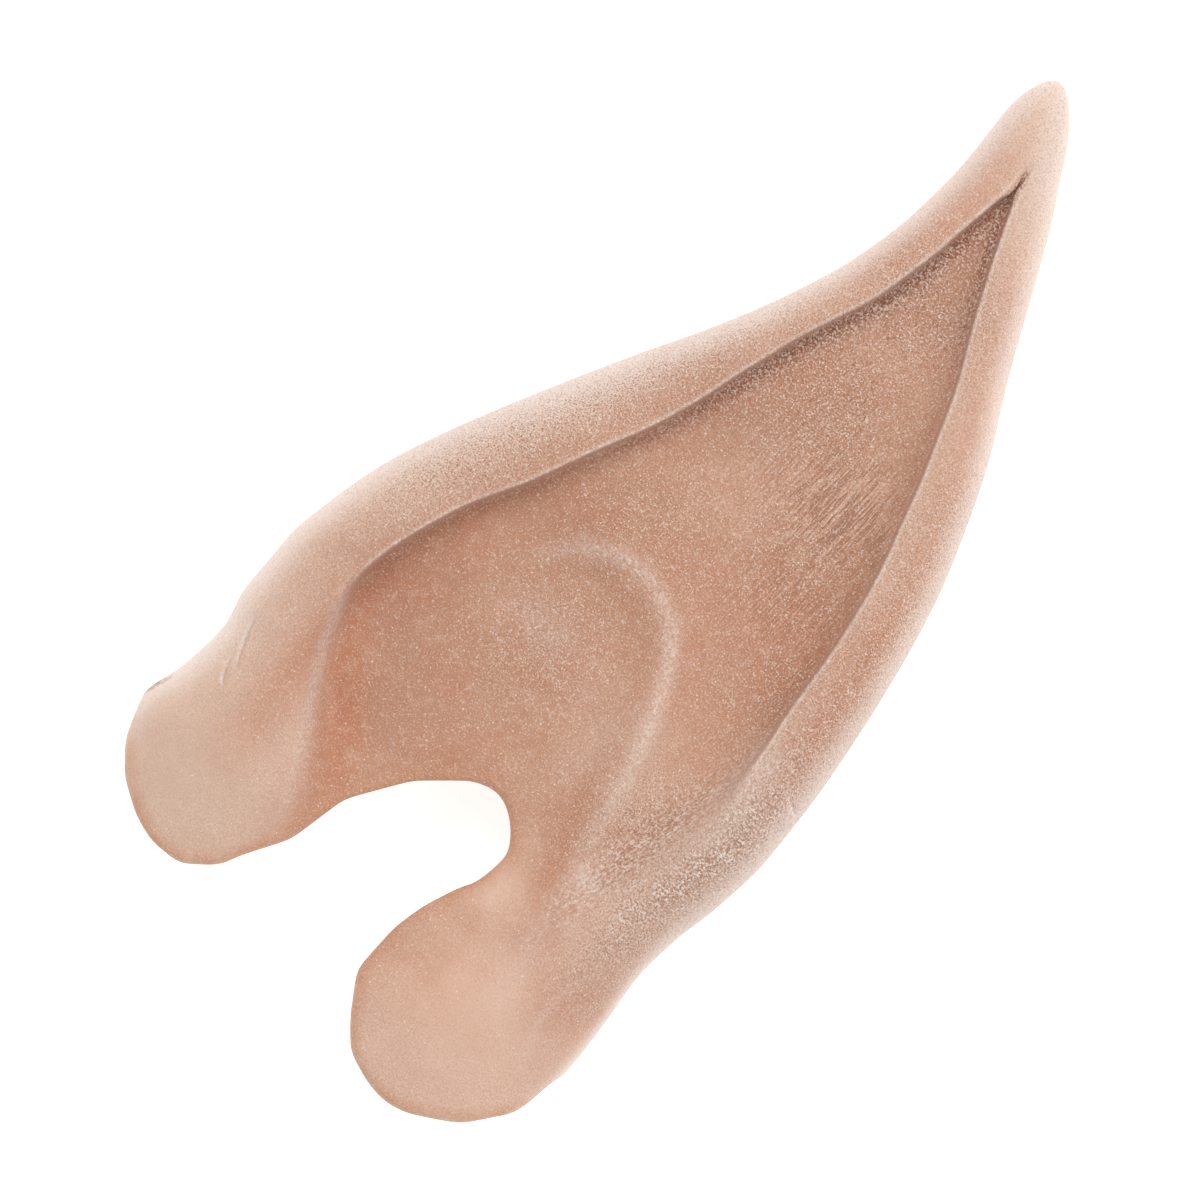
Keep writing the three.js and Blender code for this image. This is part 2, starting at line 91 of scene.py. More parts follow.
# Rims and floor: widths as shares of FRONT_RIM and BACK_RIM, softness of the creases from 0, crisp,
# to 1, a slope, and the floor's depth at each crease and midway as shares of RECESS
RIMS = {
    "columns": [
        "along", "front_rim", "back_rim", "front_soft", "back_soft",
        "front_dip", "mid_dip", "back_dip",
    ],
    "rows": [
        [-0.06, 2.1, 2.9, 0.9, 1.0, 0.1, 0.05, 0.25],
        [0.05, 2.15, 2.7, 0.9, 1.0, 0.35, 0.05, 0.35],
        [0.12, 2.13, 1.9, 0.75, 1.0, 0.7, 0.05, 0.35],
        [0.175, 1.72, 1.35, 0.62, 1.0, 0.9, 0.08, 0.35],
        [0.22, 1.27, 1.18, 0.45, 0.9, 1.0, 0.12, 0.4],
        [0.285, 0.98, 1.1, 0.2, 0.65, 1.0, 0.14, 0.48],
        [0.35, 0.89, 1.04, 0.02, 0.35, 0.93, 0.12, 0.52],
        [0.415, 0.95, 1.0, 0.0, 0.03, 0.82, 0.12, 0.53],
        [0.47, 1.01, 0.98, 0.0, 0.0, 0.74, 0.12, 0.52],
        [0.54, 0.98, 0.935, 0.0, 0.0, 0.66, 0.13, 0.5],
        [0.6, 0.88, 0.92, 0.0, 0.0, 0.6, 0.13, 0.48],
        [0.655, 0.67, 0.89, 0.0, 0.0, 0.55, 0.12, 0.46],
        [0.7, 0.58, 0.86, 0.0, 0.0, 0.52, 0.1, 0.44],
        [0.77, 0.54, 0.75, 0.0, 0.0, 0.47, 0.07, 0.41],
        [0.84, 0.53, 0.74, 0.0, 0.0, 0.41, 0.04, 0.37],
        [0.885, 0.58, 0.68, 0.0, 0.0, 0.35, 0.0, 0.33],
        [0.915, 0.63, 0.57, 0.0, 0.0, 0.14, 0.0, 0.12],
        [0.935, 0.64, 0.54, 0.0, 0.0, 0.0, 0.0, 0.0],
        [1.0, 0.64, 0.54, 0.0, 0.0, 0.0, 0.0, 0.0],
    ],
}

# Heights as shares of DEPTH; fullness is the power of the back's curve
HEIGHTS = {
    "columns": ["along", "front_crown", "back_crown", "edge", "back", "fullness"],
    "rows": [
        [-0.06, 0.7, 0.62, 0.36, -0.05, 4.4],
        [0.0, 0.75, 0.69, 0.38, -0.05, 4.4],
        [0.08, 0.85, 0.8, 0.4, -0.05, 4.4],
        [0.15, 0.9, 0.86, 0.41, -0.05, 4.2],
        [0.21, 0.9, 0.9, 0.43, -0.04, 4.0],
        [0.28, 0.96, 0.93, 0.44, -0.01, 3.6],
        [0.36, 1.0, 0.94, 0.445, 0.0, 3.2],
        [0.46, 0.96, 0.89, 0.42, 0.0, 3.0],
        [0.6, 0.8, 0.76, 0.37, 0.0, 2.8],
        [0.75, 0.62, 0.6, 0.3, 0.0, 2.6],
        [0.88, 0.47, 0.46, 0.25, 0.02, 2.4],
        [1.0, 0.37, 0.37, 0.24, 0.08, 2.2],
    ],
}

# The crest inside the ear: its route as shares of WIDTH and LENGTH, its height as a share of RIDGE_RISE
RIDGE = [
    [0.33, 0.392, 0.0],
    [0.37, 0.43, 0.4],
    [0.411, 0.454, 0.75],
    [0.464, 0.466, 0.95],
    [0.525, 0.467, 1.0],
    [0.582, 0.459, 1.0],
    [0.628, 0.443, 1.0],
    [0.66, 0.418, 1.0],
    [0.69, 0.387, 1.0],
    [0.712, 0.355, 0.95],
    [0.733, 0.315, 0.9],
    [0.748, 0.275, 0.75],
    [0.763, 0.235, 0.55],
    [0.778, 0.195, 0.4],
    [0.79, 0.155, 0.25],
    [0.82, 0.1, 0.0],
]

# Lower edge of the face, from the front side round both lobes and the notch to the back side: the
# corners between the short straight cuts of the scissors
FACE_EDGE = [
    [-0.12, 0.19],
    [0.007, 0.126],
    [0.031, 0.09],
    [0.073, 0.066],
    [0.13, 0.048],
    [0.177, 0.04],
    [0.239, 0.04],
    [0.295, 0.061],
    [0.308, 0.076],
    [0.358, 0.114],
    [0.383, 0.167],
    [0.452, 0.215],
    [0.531, 0.247],
    [0.573, 0.253],
    [0.604, 0.248],
    [0.635, 0.235],
    [0.656, 0.219],
    [0.652, 0.203],
    [0.644, 0.183],
    [0.629, 0.174],
    [0.601, 0.141],
    [0.587, 0.113],
    [0.584, 0.067],
    [0.628, 0.033],
    [0.665, 0.012],
    [0.722, 0.001],
    [0.765, -0.002],
    [0.805, 0.002],
    [0.887, 0.024],
    [0.949, 0.06],
    [0.966, 0.108],
    [1.12, 0.13],
]

# Lines of finishes, painted shade and painted highlight on the face: the layer, its reach to each side in
# millimetres, and its route as rows of across, along and strength
LINES = [
    # the crest's crown, a painted highlight with talc dust on it, and the dusty patch inside it
    ("talc_and_highlight", 1.0, [
        [0.345, 0.4, 0.0], [0.383, 0.434, 0.2], [0.43, 0.456, 0.35], [0.5, 0.467, 0.4],
        [0.582, 0.459, 0.42], [0.64, 0.436, 0.5], [0.69, 0.387, 0.5], [0.712, 0.355, 0.45],
        [0.735, 0.31, 0.35], [0.75, 0.265, 0.25], [0.778, 0.195, 0.3], [0.79, 0.155, 0.3],
        [0.82, 0.1, 0.0],
    ]),
    ("talc_and_highlight", 2.4, [[0.33, 0.34, 0.0], [0.395, 0.377, 0.15], [0.47, 0.382, 0.22], [0.535, 0.38, 0.12],
                   [0.6, 0.35, 0.12], [0.64, 0.3, 0.05], [0.66, 0.25, 0.0]]),
    # the painted highlight on the front lip, widening into a dusty band beside the lobe
    ("talc_and_highlight", 0.6, [[0.148, 0.31, 0.2], [0.165, 0.287, 0.55], [0.195, 0.247, 0.6], [0.236, 0.21, 0.5],
                   [0.274, 0.177, 0.4], [0.3, 0.15, 0.25], [0.325, 0.12, 0.15], [0.33, 0.1, 0.0]]),
    # the rough dusty streak where the back rim fades out
    ("crinkle", 1.6, [[0.87, 0.41, 0.3], [0.845, 0.355, 0.8], [0.821, 0.291, 1.0], [0.785, 0.2225, 0.7],
                      [0.77, 0.18, 0.0]]),
    ("talc_and_highlight", 1.8, [[0.885, 0.41, 0.3], [0.9, 0.36, 0.3], [0.88, 0.3, 0.15]]),
    ("dust", 2.8, [[0.94, 0.45, 0.3], [0.935, 0.37, 1.0], [0.92, 0.31, 1.0], [0.89, 0.25, 0.8],
                   [0.88, 0.19, 0.3], [0.88, 0.1, 0.0]]),
    # warm tints: the deep concha, partly painted shade and partly the latex's own colour; the inner flank
    # of the front rim and the back rim, painted shade
    ("warm", 2.6, [[0.205, 0.28, 0.3], [0.235, 0.25, 0.75], [0.285, 0.228, 0.85], [0.325, 0.195, 0.8],
                   [0.35, 0.16, 0.65], [0.365, 0.12, 0.4]]),
    ("warm", 2.6, [[0.19, 0.14, 0.25], [0.18, 0.2, 0.6], [0.178, 0.26, 0.7], [0.195, 0.33, 0.6],
                   [0.225, 0.4, 0.55], [0.27, 0.47, 0.5], [0.335, 0.54, 0.5], [0.39, 0.61, 0.45],
                   [0.445, 0.68, 0.35], [0.47, 0.75, 0.5], [0.51, 0.82, 0.8], [0.52, 0.89, 0.7],
                   [0.51, 0.96, 0.2]]),
    ("warm", 2.8, [[0.94, 0.4, 0.2], [0.94, 0.47, 0.8], [0.92, 0.54, 0.8], [0.9, 0.61, 0.6],
                   [0.86, 0.68, 0.6], [0.8, 0.75, 0.55], [0.73, 0.83, 0.55], [0.68, 0.89, 0.1]]),
    # the orange stroke beside the crest's tail
    ("warm", 1.6, [[0.67, 0.34, 0.0], [0.688, 0.291, 0.4], [0.743, 0.227, 0.55], [0.785, 0.19, 0.45],
                   [0.8, 0.14, 0.15]]),
    # painted shade: the duller flank low on the back rim, where it faces down
    ("brown", 3.0, [[0.94, 0.1, 0.3], [0.92, 0.19, 0.65], [0.93, 0.26, 0.45], [0.95, 0.33, 0.55],
                    [0.96, 0.4, 0.5], [0.96, 0.5, 0.2]]),
    # rims with more grain than the rest
    ("rough", 4.0, [[0.1, 0.35, 0.2], [0.14, 0.42, 0.8], [0.25, 0.52, 0.9], [0.36, 0.63, 0.7],
                    [0.45, 0.75, 0.4]]),
    ("rough", 4.0, [[0.9, 0.18, 0.5], [0.94, 0.3, 0.9], [0.96, 0.4, 0.9], [0.93, 0.53, 0.8],
                    [0.86, 0.68, 0.5]]),
    # the faint border down the back lobe
    ("talc_and_highlight", 0.4, [[0.905, 0.193, 0.1], [0.874, 0.16, 0.2], [0.88, 0.126, 0.2], [0.906, 0.087, 0.1]]),
    # painted shade: the dark sliver where the cut ends on the front side, where the shaded back wall
    # shows beyond the edge
    ("shade_and_dirt", 0.16, [[0.006, 0.127, 0.3], [0.012, 0.139, 1.0], [0.024, 0.152, 0.5]]),
]

# Nicks, which are also cut into the skin: reach in millimetres, and the route as above
NICKS = [
    (0.17, [[0.072, 0.238, 0.0], [0.078, 0.226, 0.8], [0.089, 0.209, 1.0], [0.108, 0.188, 0.0]]),
    (0.15, [[0.085, 0.198, 0.2], [0.089, 0.189, 1.0], [0.096, 0.181, 0.8], [0.108, 0.174, 0.0]]),
    (0.16, [[0.962, 0.402, 0.7], [0.982, 0.396, 0.9]]),
]

# Broad patches of a finish: the finish, place across and along, reach in millimetres and strength
PATCHES = [
    ("lobe", 0.12, 0.1, 9.5, 1.0),
    ("peach", 0.78, 0.1, 9.0, 1.0),
    ("peach", 0.68, 0.19, 5.0, 0.9),
    ("pale", 0.75, 0.33, 6.5, 0.5),
    ("pale", 0.82, 0.25, 6.0, 0.4),
    ("pale", 0.5, 0.97, 7.0, 1.0),
    ("pale", 0.62, 0.75, 7.0, 0.2),
    ("pale", 0.547, 0.578, 5.0, 0.25),
    ("pale", 0.085, 0.21, 4.5, 0.95),
    ("pale", 0.09, 0.42, 6.0, 0.5),
    ("pale", 0.24, 0.53, 5.0, 0.6),
    ("talc_and_highlight", 0.782, 0.243, 1.6, 0.6),
    ("brown", 0.22, 0.33, 6.0, 0.6),
    ("brown", 0.267, 0.367, 4.0, 0.5),
    ("brown", 0.3, 0.28, 7.0, 0.35),
    ("brown", 0.37, 0.47, 5.0, 0.55),
    ("brown", 0.46, 0.61, 5.0, 0.65),
    ("warm", 0.79, 0.51, 6.5, 0.6),
    ("warm", 0.66, 0.48, 6.0, 0.2),
    ("warm", 0.875, 0.155, 3.5, 0.45),
    ("warm", 0.47, 0.245, 3.0, 0.4),
    ("warm", 0.72, 0.09, 4.0, 0.18),
    ("rough", 0.84, 0.47, 7.0, 0.6),
    ("rough", 0.72, 0.56, 8.0, 0.7),
    ("rough", 0.5, 0.5, 8.0, 0.5),
    ("rough", 0.58, 0.68, 8.0, 1.0),
    ("rough", 0.6, 0.78, 7.0, 1.0),
    ("rough", 0.48, 0.38, 6.0, 0.6),
    ("rough", 0.8, 0.3, 6.0, 0.8),
    ("scratched", 0.705, 0.61, 5.5, 1.0),
    ("scratched", 0.75, 0.53, 6.0, 0.5),
    ("scratched", 0.6, 0.62, 6.0, 0.4),
]
PAINT_LAYER_NAMES = (
    "talc_and_highlight", "crinkle", "grit", "dust", "warm", "lobe", "peach", "brown", "pale", "rough", "scratched",
)

# What the scene adds to the solid's form, in millimetres
OVERHANG = 0.24  # how far a crisp lip leans over the floor
LIP_REACH = 1.1  # how far back from the crease the lip leans
FOOT_REACH = 0.55  # how far out from the crease the floor is drawn under
FOOT_SHARE = 2  # how much more than the lip the floor is drawn
CRISP_LIMIT = 0.3  # softness from which a crease has no overhang
LUMP_HEIGHT = 0.05  # unevenness of the cast skin
LUMP_WAVES = 18
LUMP_LENGTHS = (4.0, 16.0)
LUMP_FADE = 3.0  # distance from the outer edges over which the unevenness sets in
CREASE_WANDER = 0.15  # how far the creases stray from a smooth line
WANDER_WAVES = 5
WANDER_LENGTHS = (9.0, 26.0)
EDGE_ROUND = 0.75  # width of the softened band along the cut edges
EDGE_MESH = 0.42  # longest mesh edge in that band
EDGE_BAND = 1.4  # width of the finer mesh there, as a share of the softened band's
EDGE_GAIN = 1.3  # how steeply the softening sets in
EDGE_PASSES = 10  # how often each point there is averaged with its neighbours
EDGE_ANGLE = 38  # degrees from which an edge of the cut is sharp
EDGE_TOP = 0.3  # share of the length below which the cut's edges lie
NICK_DEPTH = 0.14
NICK_BAND = 0.45  # width of the finer mesh along a nick
NICK_MESH = 0.1  # longest mesh edge in that band
NICK_LIP = 1.5  # distance of the painted highlight on a nick's lip from the nick, in the nick's own reaches
NICK_INSET = 0.02

FACE_FADE = 1.5  # height above the outline over which the face's finishes, painted shade and painted highlight set in
RIM_SPREAD = 0.6  # how far the rim's colour spreads across a crease
SHALLOW = 0.25  # share of RECESS below which the floor takes the rim's colour
SHADE_AND_DIRT_ONSET = (-0.5, 0)

# Painted shade with dirt in it beside the creases, where the lips shade the floor, and grit there, on the
# floor's side: how far from the crease each starts to fade, and the distance that it fades over, in
# millimetres
FRONT_SHADE_AND_DIRT = (0.35, 0.55)
BACK_SHADE_AND_DIRT = (0.35, 0.35)
FRONT_GRIT = (0.5, 1.5)
BACK_GRIT = (0.4, 0.8)
LIP_HIGHLIGHT = (0.4, 0.15)  # painted highlight on the lip: how far back from the crease, and its reach
LIP_HIGHLIGHT_SHARE = 0.65
# shares of the painted shade with dirt: under the front lip, and under the back lip along the floor and
# near the tip
FRONT_SHADE_AND_DIRT_SHARE = 0.25
BACK_SHADE_AND_DIRT_SHARES = (0.15, 0.35)  # along the floor and near the tip
NICK_SHADE_SHARE = 0.35

# Shares of the length over which grit, painted shade and painted highlight set in
NEAR_TIP = (0.72, 0.88)
UPPER_PART = (0.45, 0.7)
TIP_HIGHLIGHT = (0.8, 0.95)

CUT_SHADE_REACH = 3.2  # width of the painted shade, a darker orange band, along the cut edges where the thin skin curves down
FLANK_HIGHLIGHT_REACH = 1.9  # width of the painted highlight, a pale band, on the outer flanks
TIP_HIGHLIGHT_REACH = 3.0  # and of that on the tip's back side
FLANK_HIGHLIGHT_FALL = 3.0  # height below the outline over which the painted highlight fades
LOW_FLANK_HIGHLIGHT = 0.3  # its share below that
FRONT_WIDENING = (0.56, 0.12, 0.6)  # where the band is wider: place, reach, factor on the distance
BACK_NARROWING = (0.15, 0.09, 3)  # and where it is narrower

# How finely the skins are divided
STATION_GAP = 0.36
NOSE_STEPS = 16
RIM_STEPS = 30
STEP_STEPS = 7
FLOOR_STEPS = 84
BACK_STEPS = 36
HOLLOW_GAP = 1.2
HOLLOW_RIM_STEPS = 5
HOLLOW_TURN_STEPS = 3
HOLLOW_FLOOR_STEPS = 14
TURN_REACH = 0.96
CLOSING_PLACES = [0.2, 0.4, 0.57, 0.7, 0.8, 0.9, 0.95, 0.98]
BALL_RINGS = [0.0, 0.4, 0.75, 0.97]
BALL_SPOKES = 12
SIDE_HALVINGS = 24
LEAST_HOLLOW = 0.15
EDGE_STEPS = 300
EDGE_EASINGS = 6
CUT_LEVELS = 8
CURVE_PIECES = 24
RIDGE_SAMPLES = 96
ROUTE_SAMPLES = 40
HALVINGS = 5
FAR_OFF = 1000.0
SPECK = 0.002  # mesh points nearer to each other than this are one


def clamp01(v):
    return np.clip(v, 0.0, 1.0)


def mix(a, b, t):
    return a + (b - a) * t


def smooth(t):
    return clamp01(t) ** 2 * (3 - 2 * clamp01(t))


def bump(distance, reach):
    """1 on a line, falling smoothly to 0 beside it."""
    return np.exp(-((distance / reach) ** 2))


def setting_in(share, span):
    """0 before a span, rising smoothly to 1 at its end."""
    return smooth((share - span[0]) / (span[1] - span[0]))


def factor_near(share, place, reach, factor):
    """A factor at a place, 1 away from it."""
    return mix(1, factor, bump(share - place, reach))


def fading(distance, start, reach):
    """1 up to a start, falling smoothly to 0 beyond it."""
    return bump(np.maximum(0, distance - start), reach)


def quarter_round(t):
    return np.sqrt(1 - (1 - clamp01(t)) ** 2)


def read_table(table, along):
    """The columns of a table at any shares of the length, by smooth curves without overshoot."""
    rows = np.array(table["rows"])
    step = np.diff(rows, axis=0)
    slope = step[:, 1:] / step[:, :1]
    before, after = slope[:-1], slope[1:]
    rising = before * after > 0
    inner = np.where(rising, 2 * before * after / np.where(rising, before + after, 1), 0)
    slopes = np.vstack([slope[:1], inner, slope[-1:]])
    i = np.clip(np.searchsorted(rows[1:-1, 0], along), 0, len(rows) - 2)
    gap = step[i, 0]
    t = clamp01((along - rows[i, 0]) / gap)
    values = {}
    for c, name in enumerate(table["columns"][1:]):
        start, end = rows[i, c + 1], rows[i + 1, c + 1]
        leave, arrive = slopes[i, c] * gap, slopes[i + 1, c] * gap
        curve = (2 * start - 2 * end + leave + arrive) * t**3
        values[name] = curve + (3 * end - 3 * start - 2 * leave - arrive) * t**2 + leave * t + start
    return SimpleNamespace(**values)


def wander(y, seed):
    """Slight sideways wandering of a crease worked by hand."""
    rng = np.random.default_rng(seed)
    total = 0
    for _ in range(WANDER_WAVES):
        wave = 2 * math.pi / rng.uniform(*WANDER_LENGTHS)
        total = total + np.sin(wave * y + rng.uniform(0, 2 * math.pi))
    return CREASE_WANDER * total / WANDER_WAVES


def section_at(y):
    """Every size of the cross-section at y."""
    along = y / LENGTH
    outline = read_table(OUTLINE, along)
    rims = read_table(RIMS, along)
    heights = read_table(HEIGHTS, along)
    nose = np.sqrt(np.maximum(0, 1 - np.maximum(0, (y - LENGTH + NOSE) / NOSE) ** 2))

    middle = WIDTH * (outline.front_edge + outline.back_edge) / 2
    half = WIDTH * (outline.back_edge - outline.front_edge) / 2 * nose
    front_edge, back_edge = middle - half, middle + half
    front_crease = front_edge + (FRONT_RIM * rims.front_rim + wander(y, seed=3)) * nose
    back_crease = back_edge - (BACK_RIM * rims.back_rim + wander(y, seed=5)) * nose
    floor = np.maximum(back_crease - front_crease, LEAST_FLOOR * nose)
    floor_middle = (front_crease + back_crease) / 2

    return SimpleNamespace(
        front_edge=front_edge,
        back_edge=back_edge,
        front_crease=floor_middle - floor / 2,
        back_crease=floor_middle + floor / 2,
        front_step=np.minimum(mix(CRISP_STEP, SOFT_STEP, rims.front_soft), floor / 2),
        back_step=np.minimum(mix(CRISP_STEP, SOFT_STEP, rims.back_soft), floor / 2),
        front_crisp=smooth(1 - rims.front_soft / CRISP_LIMIT) * smooth(rims.front_dip / CRISP_LIMIT),
        back_crisp=smooth(1 - rims.back_soft / CRISP_LIMIT) * smooth(rims.back_dip / CRISP_LIMIT),
        front_dip=RECESS * rims.front_dip,
        mid_dip=RECESS * rims.mid_dip,
        back_dip=RECESS * rims.back_dip,
        front_roll=RIM_ROLL * clamp01(rims.front_dip / FULL_ROLL_DIP) * (1 - rims.front_soft),
        back_roll=RIM_ROLL * clamp01(rims.back_dip / FULL_ROLL_DIP) * (1 - rims.back_soft),
        front_crown=DEPTH * heights.front_crown,
        back_crown=DEPTH * heights.back_crown,
        edge=DEPTH * heights.edge,
        back=DEPTH * heights.back,
        fullness=heights.fullness,
        nose=nose,
    )


def curve_through(points, count):
    """Points at equal distances along a centripetal Catmull-Rom curve through the given ones."""
    p = np.array(points, dtype=float)
    p = np.vstack([2 * p[0] - p[1], p, 2 * p[-1] - p[-2]])
    dense = []
    for i in range(1, len(p) - 2):
        p0, p1, p2, p3 = p[i - 1 : i + 3]
        t0 = 0.0
        t1 = t0 + np.linalg.norm(p1 - p0) ** 0.5
        t2 = t1 + np.linalg.norm(p2 - p1) ** 0.5
        t3 = t2 + np.linalg.norm(p3 - p2) ** 0.5
        t = np.linspace(t1, t2, CURVE_PIECES, endpoint=False)[:, None]
        a1 = (t1 - t) / (t1 - t0) * p0 + (t - t0) / (t1 - t0) * p1
        a2 = (t2 - t) / (t2 - t1) * p1 + (t - t1) / (t2 - t1) * p2
        a3 = (t3 - t) / (t3 - t2) * p2 + (t - t2) / (t3 - t2) * p3
        b1 = (t2 - t) / (t2 - t0) * a1 + (t - t0) / (t2 - t0) * a2
        b2 = (t3 - t) / (t3 - t1) * a2 + (t - t1) / (t3 - t1) * a3
        dense.append((t2 - t) / (t2 - t1) * b1 + (t - t1) / (t2 - t1) * b2)
    dense = np.vstack([*dense, p[-2][None]])
    length = np.r_[0, np.cumsum(np.linalg.norm(np.diff(dense, axis=0), axis=1))]
    places = np.linspace(0, length[-1], count)
    return np.stack([np.interp(places, length, dense[:, k]) for k in range(dense.shape[1])], axis=1)


def from_route(x, y, route):
    """Distance of each point from a route, the side it lies on, and the route's third column there."""
    nearest = np.full(np.shape(x), np.inf)
    side = np.ones(np.shape(x))
    value = np.zeros(np.shape(x))
    for a, b in zip(route[:-1], route[1:]):
        dx, dy = b[0] - a[0], b[1] - a[1]
        t = clamp01(((x - a[0]) * dx + (y - a[1]) * dy) / (dx * dx + dy * dy))
        away_x, away_y = x - a[0] - dx * t, y - a[1] - dy * t
        distance = np.hypot(away_x, away_y)
        closer = distance < nearest
        nearest = np.where(closer, distance, nearest)
        side = np.where(closer, dx * away_y - dy * away_x, side)
        value = np.where(closer, mix(a[2], b[2], t), value)
    return nearest, side, value


def route_of(rows, count=ROUTE_SAMPLES):
    """A route in millimetres from rows of across, along and a value."""
    return curve_through([[c * WIDTH, a * LENGTH, v] for c, a, v in rows], count)


RIDGE_ROUTE = route_of(RIDGE, RIDGE_SAMPLES)


def ridge_height(x, y):
    nearest, side, rise = from_route(x, y, RIDGE_ROUTE)
    reach = np.where(side > 0, RIDGE_OUTER, RIDGE_INNER)
    return RIDGE_RISE * np.maximum(0, rise) * bump(nearest, reach)


def face_height(s, x, y):
    """Height of the sculpted face over x, on the section s at y."""
    front_crown_x = s.front_edge + CROWN_PLACE * (s.front_crease - s.front_edge)
    back_crown_x = s.back_edge - CROWN_PLACE * (s.back_edge - s.back_crease)
    tiny = 1e-9
    place = (x - front_crown_x) / (back_crown_x - front_crown_x + tiny)
    crown = mix(s.front_crown, s.back_crown, clamp01(place))
    front_round = quarter_round((x - s.front_edge) / (front_crown_x - s.front_edge + tiny))
    back_round = quarter_round((s.back_edge - x) / (s.back_edge - back_crown_x + tiny))
    front_fall = clamp01((x - front_crown_x) / (s.front_crease - front_crown_x + tiny))
    back_fall = clamp01((back_crown_x - x) / (back_crown_x - s.back_crease + tiny))
    roll = np.minimum(s.front_roll * front_fall**2, s.back_roll * back_fall**2)

    across = clamp01((x - s.front_crease) / (s.back_crease - s.front_crease + tiny))
    bowl = mix(s.front_dip, s.back_dip, across) + s.mid_dip * 4 * across * (1 - across)
    past_front = smooth(0.5 + (x - s.front_crease) / (s.front_step + tiny))
    past_back = smooth(0.5 + (s.back_crease - x) / (s.back_step + tiny))
    sunk = past_front * past_back
    rise = (crown - s.edge) * front_round * back_round - roll - bowl * sunk
    return s.edge + (rise + ridge_height(x, y) * sunk) * s.nose


def back_height(s, x):
    """Height of the smooth back over x, on the section s."""
    across = np.abs((2 * x - s.front_edge - s.back_edge) / (s.back_edge - s.front_edge + 1e-9))
    full = (1 - np.minimum(1, across) ** s.fullness) ** (1 / s.fullness)
    return s.edge + (s.back - s.edge) * full * s.nose


def lumps(x, y):
    """Slight unevenness of a cast skin, as a sum of seeded waves."""
    rng = np.random.default_rng(7)
    total = np.zeros(np.shape(x))
    for _ in range(LUMP_WAVES):
        wave = 2 * math.pi / rng.uniform(*LUMP_LENGTHS)
        turn, start = rng.uniform(0, 2 * math.pi, 2)
        total += np.sin(wave * (x * math.cos(turn) + y * math.sin(turn)) + start)
    return LUMP_HEIGHT * total / math.sqrt(LUMP_WAVES / 2)


def lean(s, x):
    """Sideways shift that makes the crisp lips lean over the floor and draws the floor in under them."""
    front = x - s.front_crease
    back = s.back_crease - x
    half_step = CRISP_STEP / 2
    over_front = bump(front + half_step, LIP_REACH) - FOOT_SHARE * bump(front - half_step, FOOT_REACH)
    over_back = bump(back + half_step, LIP_REACH) - FOOT_SHARE * bump(back - half_step, FOOT_REACH)
    return OVERHANG * s.nose * (s.front_crisp * over_front - s.back_crisp * over_back)


def outer_rings(ys):
    """Closed rings of the outer skin: front edge, face, back edge, back."""
    s = section_at(ys[:, None])
    towards = (1 - np.cos(np.linspace(0, 1, RIM_STEPS, endpoint=False)[None, :] * math.pi)) / 2
    step = np.linspace(-0.5, 0.5, STEP_STEPS, endpoint=False)[None, :]
    front_rim = mix(s.front_edge, s.front_crease - s.front_step / 2, towards)
    back_rim = mix(s.back_edge, s.back_crease + s.back_step / 2, towards)
    front_step = s.front_crease + s.front_step * step
    back_step = s.back_crease - s.back_step * step
    share = np.linspace(0, 1, FLOOR_STEPS + 1)[None, :]
    floor = mix(s.front_crease + s.front_step / 2, s.back_crease - s.back_step / 2, share)
    x = np.hstack([front_rim, front_step, floor, back_step[:, ::-1], back_rim[:, ::-1]])
    y = np.broadcast_to(ys[:, None], x.shape)
    away = np.minimum(x - s.front_edge, s.back_edge - x)
    z = face_height(s, x, y) + lumps(x, y) * smooth(away / LUMP_FADE)
    z[:, 0] = z[:, -1] = s.edge[:, 0]
    x = x + lean(s, x)

    turn = np.linspace(0, math.pi, BACK_STEPS + 1)[None, 1:-1]
    back_x = mix(s.back_edge, s.front_edge, (1 - np.cos(turn)) / 2)
    back_z = back_height(s, back_x)
    ring_x = np.hstack([x, back_x])
    ring_z = np.hstack([z, back_z])
    return np.stack([ring_x, np.broadcast_to(ys[:, None], ring_x.shape), ring_z], axis=-1)


def hollow_span(x, y):
    """Heights between which the hollow lies: each skin moved in by a ball as big as the wall."""
    reach = WALL * np.array(BALL_RINGS)[:, None]
    turn = 2 * math.pi * np.arange(BALL_SPOKES)[None, :] / BALL_SPOKES
    height = np.sqrt(WALL**2 - reach**2)
    ball_x = x[..., None, None] + reach * np.cos(turn)
    ball_y = y[..., None, None] + reach * np.sin(turn)
    s = section_at(ball_y)
    inside = (ball_x > s.front_edge) & (ball_x < s.back_edge)
    top = np.where(inside, face_height(s, ball_x, ball_y) - height, -FAR_OFF).min(axis=(-1, -2))
    bottom = np.where(inside, back_height(s, ball_x) + height, FAR_OFF).max(axis=(-1, -2))
    return top, bottom


def hollow_side(inside, outside, y):
    """Side of the hollow at each y, found by halving the way from a point inside to one outside."""
    for _ in range(SIDE_HALVINGS):
        x = (inside + outside) / 2
        top, bottom = hollow_span(x, y)
        fits = top - bottom > LEAST_HOLLOW
        inside = np.where(fits, x, inside)
        outside = np.where(fits, outside, x)
    return inside


